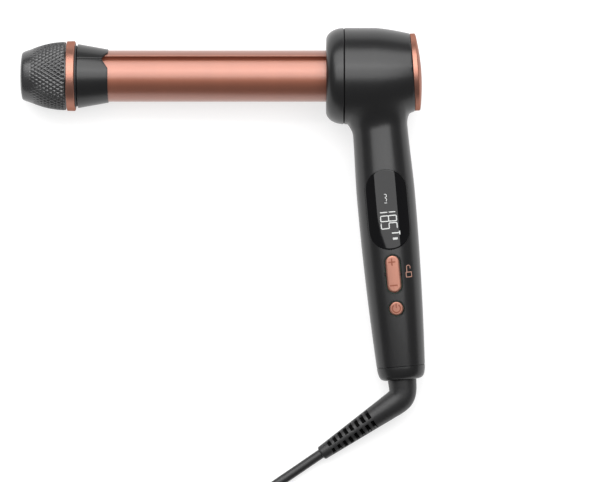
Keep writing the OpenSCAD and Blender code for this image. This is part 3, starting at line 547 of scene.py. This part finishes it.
def collarMesh():
    fine = collar["fineTo"]  # degrees each side of the crease that are cut finely
    turns = np.radians(np.concatenate([np.arange(-fine, fine + 0.01, 0.25), np.arange(fine + 2, 359 - fine, 2)]))
    back, rim = collar["back"], collar["rim"]
    bm = bmesh.new()
    rings = []
    for turn in turns:
        arc, front, dip = turn * collar["frontR"], collar["front"], 0
        if abs(turn) < 1:
            half = collar["notchUp"] if turn > 0 else collar["notchDown"]
            front -= collar["notch"] * max(0, 1 - abs(arc) / half)
            dip = collar["crease"] * math.exp(-(arc / collar["creaseWidth"]) ** 2)
        along = [(back, rim), (back + 0.15, 0.15), (back + rim, 0)]
        along += [(back + rim + (front - 0.3 - back - rim) * k / 14, 0) for k in range(1, 15)]
        along += [(front - 0.08, 0.1), (front, 0.3)]
        loop = []
        for x, drop in along:
            slope = (x - back) / (collar["front"] - back)
            r = collar["backR"] + (collar["frontR"] - collar["backR"]) * slope - drop - dip
            loop.append((x, max(r, collar["innerR"] + 0.1)))
        loop += [(front, collar["innerR"]), (back, collar["innerR"])]
        row = []
        for x, r in loop:
            angle = collar["turn"] + turn + collar["creaseTurn"] * (x - collar["front"]) / collar["creaseRun"]
            row.append(bm.verts.new((x, r * math.sin(angle), r * math.cos(angle))))
        rings.append(row)
    return closed(skinned(bm, rings, around=True))


def newTree(name, inputs):
    tree = bpy.data.node_groups.new(name, "GeometryNodeTree")
    for label, kind in (("Geometry", "Geometry"), *inputs, ("Finish", "Material")):
        tree.interface.new_socket(label, in_out="INPUT", socket_type="NodeSocket" + kind)
    tree.interface.new_socket("Geometry", in_out="OUTPUT", socket_type="NodeSocketGeometry")
    return tree, tree.nodes.new("NodeGroupInput")


# the end of every tree: real geometry in the chosen finish
def endTree(tree, given, geometry):
    realize = tree.nodes.new("GeometryNodeRealizeInstances")
    dress, out = tree.nodes.new("GeometryNodeSetMaterial"), tree.nodes.new("NodeGroupOutput")
    tree.links.new(geometry, realize.inputs[0])
    tree.links.new(realize.outputs[0], dress.inputs["Geometry"])
    tree.links.new(given.outputs["Finish"], dress.inputs["Material"])
    tree.links.new(dress.outputs[0], out.inputs[0])
    return tree


def knurlTree():
    sizes = ("Around", "Pitch", "Depth", "From", "To", "Softness", "Runout")
    tree, given = newTree("knurl", [(size, "Float") for size in sizes])
    nodes, links = tree.nodes, tree.links

    def sums(operation, a, b=None, c=None):
        node = nodes.new("ShaderNodeMath")
        node.operation = operation
        for i, value in enumerate((a, b, c)):
            if value is None:
                continue
            if isinstance(value, (int, float)):
                node.inputs[i].default_value = value
            else:
                links.new(value, node.inputs[i])
        return node.outputs[0]

    split = nodes.new("ShaderNodeSeparateXYZ")
    links.new(nodes.new("GeometryNodeInputPosition").outputs[0], split.inputs[0])
    x, y, z = split.outputs
    turn = sums("DIVIDE", sums("MULTIPLY", sums("ARCTAN2", y, z), given.outputs["Around"]), 2 * math.pi)
    along = sums("DIVIDE", x, given.outputs["Pitch"])
    pit = None
    for way in ("ADD", "SUBTRACT"):
        line = sums("MULTIPLY", sums("ABSOLUTE", sums("SUBTRACT", sums("FRACT", sums(way, turn, along)), 0.5)), 2)
        pit = line if pit is None else sums("SMOOTH_MIN", pit, line, given.outputs["Softness"])
    fade = nodes.new("ShaderNodeMapRange")
    fade.interpolation_type = "SMOOTHSTEP"
    fade.inputs["To Min"].default_value = 0.0
    for socket, value in (("Value", x), ("From Min", given.outputs["From"]), ("From Max", given.outputs["To"])):
        links.new(value, fade.inputs[socket])
    stop = nodes.new("ShaderNodeMapRange")
    links.new(x, stop.inputs["Value"])
    links.new(given.outputs["To"], stop.inputs["From Max"])
    links.new(sums("ADD", given.outputs["To"], given.outputs["Runout"]), stop.inputs["From Min"])
    grow = sums("MULTIPLY", sums("POWER", fade.outputs["Result"], 0.4), stop.outputs["Result"])
    deep = sums("MULTIPLY", sums("MULTIPLY", pit, given.outputs["Depth"]), grow)
    push = nodes.new("ShaderNodeVectorMath")
    push.operation = "SCALE"
    links.new(nodes.new("GeometryNodeInputNormal").outputs[0], push.inputs[0])
    links.new(sums("MULTIPLY", deep, -1), push.inputs["Scale"])
    move = nodes.new("GeometryNodeSetPosition")
    links.new(given.outputs["Geometry"], move.inputs["Geometry"])
    links.new(push.outputs[0], move.inputs["Offset"])
    return endTree(tree, given, move.outputs[0])


def baked(holder, tree, values):
    modifier = holder.modifiers.new("tree", "NODES")
    modifier.node_group = tree
    for item in tree.interface.items_tree:
        if item.item_type == "SOCKET" and item.in_out == "INPUT" and item.name in values:
            modifier[item.identifier] = values[item.name]
    return evaluated(holder)


def knobMesh():
    line = smoothLine([(x, r, 0) for x, r in knobProfile], 0.25)
    line = evenly(line, knob["step"])[:, :2]
    hub = [(-162.1, 21.2, 0), (-161.95, 20.9, 0), (-161.95, 19.9, 0), (-156.2, 19.9, 0), (-156.2, 18.4, 0),
           (-166, 18.4, 0), (-178, 13.5, 0), (-178, 0, 0)]
    front = [(knob["end"] + 0.35, 0), (knob["end"] + 0.35, 8.6), (knob["end"] + 0.02, 9.1),
             (knob["end"], 11), (knob["end"] + 0.1, 11.6)]
    bm = turned([*front, *[tuple(p) for p in line], *[p[:2] for p in hub]], knob["sides"])
    mesh = baked(holderOf("tipKnob", bm), knurlTree(), {
        "Around": float(knob["around"]), "Pitch": knob["pitch"], "Depth": knob["depth"],
        "From": knob["knurlFrom"], "To": knob["knurlTo"], "Softness": knob["softness"],
        "Runout": knob["runout"], "Finish": finishes["knurled_black"]})
    mesh.transform(toRow)
    return mesh


pieceFrom("tipCollar", collarMesh(), onBarrel, "barrel", "black_casing", replaces=("tip_collar",))
pieceFrom("trimRing", turned(filleted([
    (ring["back"], ring["innerR"], 0), (ring["back"], ring["r"] - 0.1, 0.5), (ring["front"], ring["r"], 0.7),
    (ring["front"], ring["innerR"], 0)])), onBarrel, "tip", "copper_trim", replaces=("trim_ring",))
meshPiece("tipKnob", knobMesh(), "tip", "knurled_black", replaces=("tip_knob",), sharp=60)
print("tip")


# barrel

def barrelMesh():
    half = barrel["grooveWidth"] / 2
    lips = [0, 0.02, 0.06, 0.12, 0.2, 0.3, 0.42, 0.6, 1]
    start = math.asin(half / barrel["r"])
    arcs = [start * barrel["r"] + d for d in lips]
    end = 2 * math.pi * barrel["r"] - start * barrel["r"]
    arcs += list(np.linspace(arcs[-1], end - 1, barrel["columns"])[1:-1])
    arcs += [end - d for d in reversed(lips)]
    stations = [-barrel["tubeEnd"], *np.linspace(-barrel["rowsFrom"], 0, barrel["rows"]), barrel["hubEnd"]]
    bm = bmesh.new()
    rows = []
    lip = barrel["lip"]
    for arc in arcs:
        turn = arc / barrel["r"] + barrel["grooveTurn"]
        near = min(arc - arcs[0], arcs[-1] - arc)
        drop = lip - math.sqrt(max(0, lip ** 2 - max(0, lip - near) ** 2))
        inner = barrel["r"] - barrel["wall"]
        rows.append([[bm.verts.new((x, r * math.sin(turn), r * math.cos(turn))) for x in stations]
                     for r in (barrel["r"] - drop, inner)])
    for a, b in zip(rows, rows[1:]):
        for k in range(len(stations) - 1):
            bm.faces.new((a[0][k], a[0][k + 1], b[0][k + 1], b[0][k]))
            bm.faces.new((a[1][k + 1], a[1][k], b[1][k], b[1][k + 1]))
        for k in (0, -1):
            bm.faces.new((a[0][k], b[0][k], b[1][k], a[1][k]))
    for row in (rows[0], rows[-1]):
        for k in range(len(stations) - 1):
            bm.faces.new((row[0][k], row[1][k], row[1][k + 1], row[0][k + 1]))
    return closed(bm)


pieceFrom("barrelTube", barrelMesh(), onBarrel, "barrel", "anodised_copper", replaces=("barrel_tube",))
print("barrel")


# head and handle casings

cover = {"faceR": 22.4, "boreR": 16.4, "wall": 2.2, "steps": 20}


def coverProfile():
    face, bore, end, r = cover["faceR"], cover["boreR"], head["coverEnd"], head["r"]
    arc = [(end * (1 - math.cos(a)), face + (r - face) * math.sin(a))
           for a in (math.pi / 2 * k / cover["steps"] for k in range(1, cover["steps"] - 1))]
    mouth = [(0.9, bore), (0.35, bore + 0.1), (0.06, bore + 0.4), (0, bore + 0.8), (0, face - 0.5), (0, face)]
    seam = [(end - 0.6, r), (end - 0.4, r - 0.12), (end - 0.25, r - 0.5), (end, r - 0.9), (end, r - 3)]
    return [*mouth, *arc, *seam, (end / 2.6, r - 4.3), (cover["wall"], face), (cover["wall"], bore)]


pieceFrom("frontCover", turned(coverProfile()), onBarrel, "root", "black_casing", replaces=("front_cover",))

endCap = {"side": 3.2, "dome": 2.3, "edge": 1.5}
domeR = (head["rearR"] ** 2 + endCap["dome"] ** 2) / (2 * endCap["dome"])
dome = [(endCap["side"] + endCap["dome"] - domeR + math.sqrt(domeR ** 2 - r * r), r, 0)
        for r in np.linspace(0, head["rearR"] - 1.8, 12)]
capProfile = filleted([*dome, (endCap["side"], head["rearR"], endCap["edge"]), (0, head["rearR"], 0.25),
                       (0, head["rearR"] - 2.8, 0), (-4, head["rearR"] - 2.8, 0), (-4, head["rearR"] - 4.6, 0),
                       (endCap["side"], head["rearR"] - 4.6, 0), (endCap["side"], 0, 0)])
pieceFrom("endCap", turned(capProfile, 200), atRear, "root", "copper_trim", replaces=("end_cap",))

# distance along the handle, radius and rounding
footCap = [(181.3, 14.8, 0), (181.5, 15.02, 0), (181.9, 15.02, 0), (183.2, 14.93, 0), (184.5, 14.72, 0),
           (186, 14.4, 0), (187.3, 13.95, 0), (188.3, 13.3, 0), (188.9, 12.65, 0), (189.35, 11.8, 0),
           (189.6, 10.95, 0), (189.6, 9.6, 0.3), (189.3, 9.25, 0), (186.6, 9.25, 0), (186.6, 11.5, 0),
           (176.3, 11.5, 0), (176.3, 12.8, 0), (181.3, 12.8, 0)]
pieceFrom("footCap", turned(filleted(footCap)), downHandle, "root", "black_casing", replaces=("bottom_cap",))


def handleR(s):
    s = np.asarray(s, float)
    rise = (1 - np.cos(np.pi * np.clip((s - handle["neckS"]) / (handle["bellyS"] - handle["neckS"]), 0, 1))) / 2
    fall = np.clip((s - handle["bellyS"]) / (handle["footS"] - handle["bellyS"]), 0, 1.1) ** handle["fall"]
    return (handle["neckR"] + (handle["bellyR"] - handle["neckR"]) * rise
            - (handle["bellyR"] - handle["footR"]) * fall)


# blend is the size of the fillet between head and handle; grooves are the depths at the cover, the end cap and
# the foot cap, and the seam is where the two casings meet
shell = {"blend": 8.0, "voxel": 1.15, "roughStart": 8, "roughHead": 60, "roughFoot": 185, "gripStart": 10,
         "grooves": (0.75, 0.4, 0.3), "grooveWidth": 0.35, "seamWidth": 0.22, "seamDepth": 0.12}
turnBack = np.array(inHandle.inverted())


# the rear plane leans, and the head narrows towards it
def rearAt(y):
    return head["length"] - (y - head["rearRise"]) * math.tan(head["rearTilt"])


def headTaper(x, y):
    return np.clip((x - head["straightEnd"]) / (rearAt(y) - head["straightEnd"]), 0, 1.2) ** head["taper"]


def casingField(p):
    x, y, z = p.T
    rear, t = rearAt(y), headTaper(x, y)
    inHead = (np.sqrt((y - head["rearRise"] * t) ** 2 + z ** 2)
              - head["r"] + (head["r"] - head["rearR"]) * t)
    q = p @ turnBack[:3, :3].T + turnBack[:3, 3]
    s = -q[:, 1]
    inGrip = np.maximum(np.sqrt(q[:, 0] ** 2 + q[:, 2] ** 2) - handleR(s), shell["gripStart"] - s)
    # the fillet dies out at both ends of the head
    near = shell["blend"] * np.clip((x - head["coverEnd"]) / 4, 0.1, 1) * np.clip((rear - 1.5 - x) / 5, 0.04, 1)
    h = np.clip(near - np.abs(inHead - inGrip), 0, None) / near
    return np.minimum(inHead, inGrip) - h * h * near / 4


def slopeOf(p, e=0.02):
    return np.stack([(casingField(p + d) - casingField(p - d)) / (2 * e) for d in np.eye(3) * e], 1)


def roughCasing():
    start, foot, rear, straight = shell["roughStart"], shell["roughFoot"], shell["roughHead"], head["straightEnd"]
    grip = turned([(start, 0), *[(s, float(handleR(s))) for s in np.linspace(start, foot, 60)], (foot, 0)], 64)
    bmesh.ops.transform(grip, matrix=downHandle, verts=grip.verts)
    tapered = [(x, head["r"] + (head["rearR"] - head["r"]) * headTaper(x, 0))
               for x in range(straight + 3, rear + 1, 3)]
    body = turned([(start, 0), (start, head["r"]), (straight, head["r"]), *tapered, (rear, 0)], 96)
    for v in body.verts:
        v.co.y += head["rearRise"] * headTaper(v.co.x, 0)
    addPart(body, grip)
    holder = holderOf("roughCasing", body)
    remesh = holder.modifiers.new("remesh", "REMESH")
    remesh.mode, remesh.voxel_size, remesh.adaptivity = "VOXEL", shell["voxel"], 0
    return evaluated(holder)


# the planes that the casings end at: a point and the way out of the casing
gripEnd = inHandle @ Vector((0, -handle["footS"], 0))
gripWay = inHandle.to_3x3() @ Vector((0, -1, 0))
rearWay = atRear.to_3x3() @ Vector((1, 0, 0))
endPlanes = [((head["coverEnd"], 0, 0), (-1, 0, 0)), (tuple(atRear.translation), tuple(rearWay)),
             (tuple(gripEnd), tuple(gripWay))]


# brings the rough casing's points onto the smooth shape, and holds those near an end or the seam in its plane
def settled(mesh):
    co = np.zeros(len(mesh.vertices) * 3)
    mesh.vertices.foreach_get("co", co)
    co = co.reshape(-1, 3)
    planes = [(np.array(point), np.array(way)) for point, way in [*endPlanes, ((0, 0, 0), (0, 0, 1))]]
    held = []
    for point, way in planes:
        off = (co - point) @ way
        near = np.abs(off) < 0.5
        co[near] -= off[near, None] * way
        held.append(near)
    for _ in range(6):
        value, slope = casingField(co), slopeOf(co)
        for (point, way), near in zip(planes, held):
            slope[near] -= (slope[near] @ way)[:, None] * way
        step = (value / np.maximum((slope ** 2).sum(1), 0.05))[:, None] * slope
        co -= np.clip(step, -1.5, 1.5)
    mesh.vertices.foreach_set("co", co.ravel())
    return mesh


def cutAt(bm, point, way, width, depth):
    point, way = Vector(point), Vector(way)
    everything = bm.verts[:] + bm.edges[:] + bm.faces[:]
    bmesh.ops.bisect_plane(bm, geom=everything, plane_co=point - way * width, plane_no=way, dist=1e-4)
    everything = bm.verts[:] + bm.edges[:] + bm.faces[:]
    bmesh.ops.bisect_plane(bm, geom=everything, plane_co=point, plane_no=way, dist=1e-4, clear_outer=True)
    rim = [v for v in bm.verts if abs((v.co - point).dot(way)) < 1e-3]
    slope = slopeOf(np.array([v.co for v in rim]))
    for v, g in zip(rim, slope):
        g = Vector(g) - way * Vector(g).dot(way)
        v.co -= g.normalized() * depth


def halfCasing(mesh, side):
    bm = bmesh.new()
    bm.from_mesh(mesh)
    for (point, way), depth in zip(endPlanes, shell["grooves"]):
        cutAt(bm, point, way, shell["grooveWidth"], depth)
    cutAt(bm, (0, 0, 0), (0, 0, -side), shell["seamWidth"], shell["seamDepth"])
    bmesh.ops.remove_doubles(bm, verts=bm.verts, dist=0.02)
    return bm


def stadium(length, width, spacing=1.0, steps=18):
    half, r = (length - width) / 2, width / 2
    points = []
    for end in (1, -1):
        for k in range(steps + 1):
            a = math.pi * k / steps
            points.append(((0, end * half), (r * math.cos(a) * end, r * math.sin(a) * end)))
        count = max(1, round(2 * half / spacing))
        for k in range(1, count):
            y = end * half * (1 - 2 * k / count)
            points.append(((0, y), (-r * end, 0)))
    return points


def gripSurface(x, y):
    return math.sqrt(max(0.0, float(handleR(-y)) ** 2 - x * x))


def prism(length, width, s, low, high):
    bm = bmesh.new()
    rings = [[bm.verts.new((c[0] + o[0], c[1] + o[1] - s, z)) for c, o in stadium(length, width, 4)]
             for z in (low, high)]
    return closed(skinned(bm, rings))


# a length 0.001 over the width keeps the two ends of a round outline apart
openings = {"through": (4, 30), "flat": 0.001}
window = {"s": 83.6, "length": 49.8, "width": 26.4, "depth": 1.5, "gap": 0.1}
rocker = {"s": 123.6, "length": 23, "width": 8.6, "proud": 0.9, "gap": 1.1}
power = {"s": 145, "length": 8.5, "width": 8.5 - openings["flat"], "proud": 0.9, "gap": 1}
# inHandle are distances along the handle and inHead a place on the head, whose sleeve starts headDeeper lower
screws = {"inHandle": (53.5, 161.8), "inHead": (36, 22), "holeR": 2.1, "holeFrom": -40, "holeTo": -7,
          "seat": -7.2, "sleeve": -6.2, "headDeeper": 2.6}
screwPlaces = [inHandle @ Matrix.Translation((0, -s, 0)) for s in screws["inHandle"]]
screwPlaces += [Matrix.Translation((*screws["inHead"], 0))]


def casing(name, side, node):
    holder = holderOf(name, halfCasing(casingMesh, side))
    solid = holder.modifiers.new("wall", "SOLIDIFY")
    solid.thickness, solid.offset, solid.use_quality_normals = head["wall"], -1, True
    if side > 0:
        sizes = [(piece["length"] + 2 * piece["gap"], piece["width"] + 2 * piece["gap"], piece["s"])
                 for piece in (window, rocker, power)]
        cuts = [(prism(*size, *openings["through"]), inHandle) for size in sizes]
    else:
        across, low, high = 2 * screws["holeR"], screws["holeFrom"], screws["holeTo"]
        cuts = [(prism(across, across - openings["flat"], 0, low, high), place) for place in screwPlaces]
    tools = []
    for i, (bm, place) in enumerate(cuts):
        bmesh.ops.transform(bm, matrix=place, verts=bm.verts)
        tool = holderOf(f"cut{i}", bm)
        hole = holder.modifiers.new(tool.name, "BOOLEAN")
        hole.operation, hole.solver, hole.object = "DIFFERENCE", "EXACT", tool
        tools.append(tool)
    mesh = evaluated(holder)
    for tool in tools:
        bpy.data.objects.remove(tool)
    mesh.transform(toRow)
    meshPiece(name, mesh, "root", "black_casing", replaces=(node,), sharp=38)


casingMesh = settled(roughCasing())
casing("casingFront", 1, "housing_front")
casing("casingBack", -1, "housing_back")
print("casings")


# window, buttons and marks

# a piece whose face follows the handle; each layer is a step in from the outline and a height over the handle
def crowned(piece, layers):
    length, width, s = piece["length"], piece["width"], piece["s"]
    outline = stadium(length, width, 1.0, 20)
    bm = bmesh.new()
    rings = []
    for inset, lift in layers:
        share = 1 - inset / (width / 2)
        row = []
        for (cx, cy), (ox, oy) in outline:
            x, y = cx + ox * share, cy + oy * share - s
            row.append(bm.verts.new((x, y, gripSurface(x, y) + lift)))
        rings.append(row)
    skinned(bm, rings, ends=False)
    bm.faces.new(rings[0])
    bmesh.ops.remove_doubles(bm, verts=rings[-1], dist=0.01)
    return closed(bm)


windowLayers = [(0, -window["depth"]), (0, -0.3), (0.03, -0.14), (0.1, -0.04), (0.22, 0)]
windowLayers += [(window["width"] / 2 * k / 14, 0) for k in range(1, 15)]
pieceFrom("displayWindow", crowned(window, windowLayers), inHandle, "root", "window_gloss",
          replaces=("display_window",))

top = rocker["proud"]
rockerLayers = [(0, -3), (0, top - 0.75), (0.07, top - 0.45), (0.25, top - 0.2), (0.5, top - 0.07), (0.85, top)]
rockerLayers += [(rocker["width"] / 2 * k / 10, top) for k in range(3, 11)]
pieceFrom("rockerButton", crowned(rocker, rockerLayers), inHandle, "rocker", "copper_trim",
          replaces=("rocker_button",))
top = power["proud"]
powerLayers = [(0, -2.6), (0, top - 0.7), (0.08, top - 0.4), (0.26, top - 0.16), (0.55, top)]
powerLayers += [(power["length"] / 2 * k / 10, top) for k in range(2, 11)]
pieceFrom("powerButton", crowned(power, powerLayers), inHandle, "power", "copper_trim",
          replaces=("power_button",))


def strokes(lines, width, lift, thick=0.05):
    bm = bmesh.new()
    for line in lines:
        ring = line[0] == line[-1]
        points = evenly([(x, y, 0) for x, y in line], 0.35)[:, :2]
        count = len(points) - (1 if ring else 0)
        rows = []
        for i in range(count):
            back = points[i - 1] if ring or i else points[i]
            ahead = points[(i + 1) % count] if ring or i < count - 1 else points[i]
            way = Vector(ahead - back).normalized()
            normal = Vector((-way.y, way.x)) * width / 2
            row = []
            for sign, level in ((1, lift), (-1, lift), (-1, lift - thick), (1, lift - thick)):
                x, y = points[i][0] + sign * normal.x, points[i][1] + sign * normal.y
                row.append(bm.verts.new((x, y, gripSurface(x, y) + level)))
            rows.append(row)
        skinned(bm, rows, around=ring)
    bmesh.ops.recalc_face_normals(bm, faces=bm.faces)
    return bm


def arcLine(centre, r, start, end, count=24):
    return [(centre[0] + r * math.cos(math.radians(start + (end - start) * k / count)),
             centre[1] + r * math.sin(math.radians(start + (end - start) * k / count)))
            for k in range(count + 1)]


def mark(name, lines, width, lift, body, slot, material):
    pieceFrom(name, strokes(lines, width, lift), inHandle, body, slot, material)


plusAt = (-0.4, -rocker["s"] + 7.4)
minusAt = (-0.4, -rocker["s"] - 7.1)
mark("rockerMarks", [[(plusAt[0] - 2.2, plusAt[1]), (plusAt[0] + 2.2, plusAt[1])],
                     [(plusAt[0], plusAt[1] - 2.2), (plusAt[0], plusAt[1] + 2.2)],
                     [(minusAt[0] - 2.4, minusAt[1]), (minusAt[0] + 2.4, minusAt[1])]],
     0.85, rocker["proud"] + 0.03, "rocker", "copper_trim", markCopper)
mark("powerMark", [arcLine((0, -power["s"]), 2.5, 125, 415), [(0, -power["s"] + 0.3), (0, -power["s"] + 3)]],
     0.75, power["proud"] + 0.03, "power", "copper_trim", markCopper)

# digits lie on their side, with their tops away from the barrel
digits = {"left": -4.9, "right": 4.9, "top": -85.2, "tall": 3.4, "width": 0.62}


def digitLines(which, y):
    l, r, t = digits["left"], digits["right"], digits["tall"]
    m = (l + r) / 2
    shapes = {
        "1": [[(l, y), (m - 0.5, y)], [(m + 0.5, y), (r - 0.4, y)]],
        "8": [[(l + 0.4, y), (m - 0.3, y), (m, y - 0.3), (m, y - t + 0.3), (m - 0.3, y - t), (l + 0.4, y - t),
               (l, y - t + 0.4), (l, y - 0.4), (l + 0.4, y)],
              [(m + 0.3, y), (r - 0.4, y), (r, y - 0.4), (r, y - t + 0.4), (r - 0.4, y - t), (m + 0.3, y - t),
               (m, y - t + 0.3)], [(m, y - 0.3), (m + 0.3, y)]],
        "5": [[(r, y - t), (r, y - 0.3), (r - 0.3, y), (m + 0.3, y), (m, y - 0.3), (m, y - t + 0.3),
               (m - 0.3, y - t), (l + 0.3, y - t), (l, y - t + 0.3), (l, y)]],
    }
    return shapes[which]


line = digits["top"]
digitStrokes = []
for which, advance in (("1", 2.2), ("8", 4.5), ("5", 6.2)):
    digitStrokes += digitLines(which, line)
    line -= advance
mark("displayDigits", digitStrokes, digits["width"], 0.06, "root", "window_gloss", markWhite)
mark("displayUnits", [[(1.3, line - 0.2), (6.1, line - 0.2)], [(6.1, line + 0.9), (6.1, line - 1.4)],
                      [(1.6, line - 3.4), (4.6, line - 3.4)], [(1.6, line - 4), (4.6, line - 4)]],
     0.7, 0.06, "root", "window_gloss", markWhite)
mark("displaySign", [[(-1.5, -74), (-0.3, -74), (-0.1, -75.4), (-1.1, -76.2), (-0.1, -77), (-0.5, -78.4)],
                     [(-1.7, -79.4), (-0.1, -79.4)]], 0.4, 0.06, "root", "window_gloss", markFaint)

# a lock sign beside the rocker
lock = {"x": 9.6, "y": -122.2}
mark("lockSign", [[(lock["x"] - 1.7, lock["y"] - 1), (lock["x"] + 1.7, lock["y"] - 1),
                   (lock["x"] + 1.7, lock["y"] - 4), (lock["x"] - 1.7, lock["y"] - 4),
                   (lock["x"] - 1.7, lock["y"] - 1)],
                  [(lock["x"] - 1.1, lock["y"] - 1), (lock["x"] - 1.1, lock["y"] + 2.2),
                   *arcLine((lock["x"], lock["y"] + 2.2), 1.1, 180, 0, 10)[1:],
                   (lock["x"] + 1.1, lock["y"] + 1.2)]],
     0.42, 0.05, "root", "copper_trim", iconCopper)
print("window, buttons and marks")


# casing screws

def upright(profile, sides):
    bm = turned(profile, sides)
    bmesh.ops.rotate(bm, verts=bm.verts, matrix=Matrix.Rotation(math.pi / 2, 3, "Y"))
    return bm


def repeatTree():
    tree, given = newTree("screwsAtPlaces", [("Screw", "Object"), ("Size", "Float")])
    nodes, links = tree.nodes, tree.links
    item, place = nodes.new("GeometryNodeObjectInfo"), nodes.new("GeometryNodeInstanceOnPoints")
    links.new(given.outputs["Screw"], item.inputs["Object"])
    links.new(given.outputs["Geometry"], place.inputs["Points"])
    links.new(item.outputs["Geometry"], place.inputs["Instance"])
    links.new(given.outputs["Size"], place.inputs["Scale"])
    return endTree(tree, given, place.outputs["Instances"])


def repeated(name, points, shape, slot, replaces=()):
    pattern = holderOf(name + "Pattern", shape)
    bm = bmesh.new()
    for point in points:
        bm.verts.new(point)
    mesh = baked(holderOf(name, bm), repeatTree(), {"Screw": pattern, "Size": 1.0, "Finish": finishes[slot]})
    bpy.data.objects.remove(pattern)
    mesh.transform(toRow)
    meshPiece(name, mesh, "root", slot, replaces=replaces, sharp=40)


screwProfile = filleted([(-6, 0, 0), (-6, 0.9, 0), (-1.2, 0.9, 0), (-1.2, 1.9, 0), (0, 1.9, 0.5), (0.1, 1.2, 0),
                         (0.1, 0, 0)], 4)
sleeveProfile = [(0, 2.12), (0, 2.8), (9.5, 2.8), (9.5, 2.12)]
spots = [place.translation for place in screwPlaces]
repeated("casingScrews", [(spot.x, spot.y, screws["seat"]) for spot in spots], upright(screwProfile, 28), "steel",
         ("housing_screws",))
sleeveStarts = [screws["sleeve"] for _ in screws["inHandle"]] + [screws["sleeve"] - screws["headDeeper"]]
repeated("screwSleeves", [(spot.x, spot.y, z) for spot, z in zip(spots, sleeveStarts)],
         upright(sleeveProfile, 36), "black_casing")
print("screws")


# finishes of the pieces that come from the CAD model as they are
for entry in frame["record"]["subparts"]:
    held = frame["nodes"][entry["node"]].data
    held.materials.clear()
    held.materials.append(grooveCopper if entry["node"] == "slot_liner" else finishes[entry["material_slot"]])

ground = {"height": -0.02944, "half": 4}  # metres
floorMesh = bmesh.new()
bmesh.ops.create_grid(floorMesh, x_segments=4, y_segments=4, size=ground["half"])
floor = holderOf("floor", floorMesh)
floor.data.transform(Matrix.Translation((0, 0, ground["height"])))
paleFloor = finish("paleFloor", (0.36, 0.36, 0.36), 0.7, patch=3, shift=0.01, bump=0.01, glow=1.9)
floor.data.materials.append(paleFloor)
print("floor")
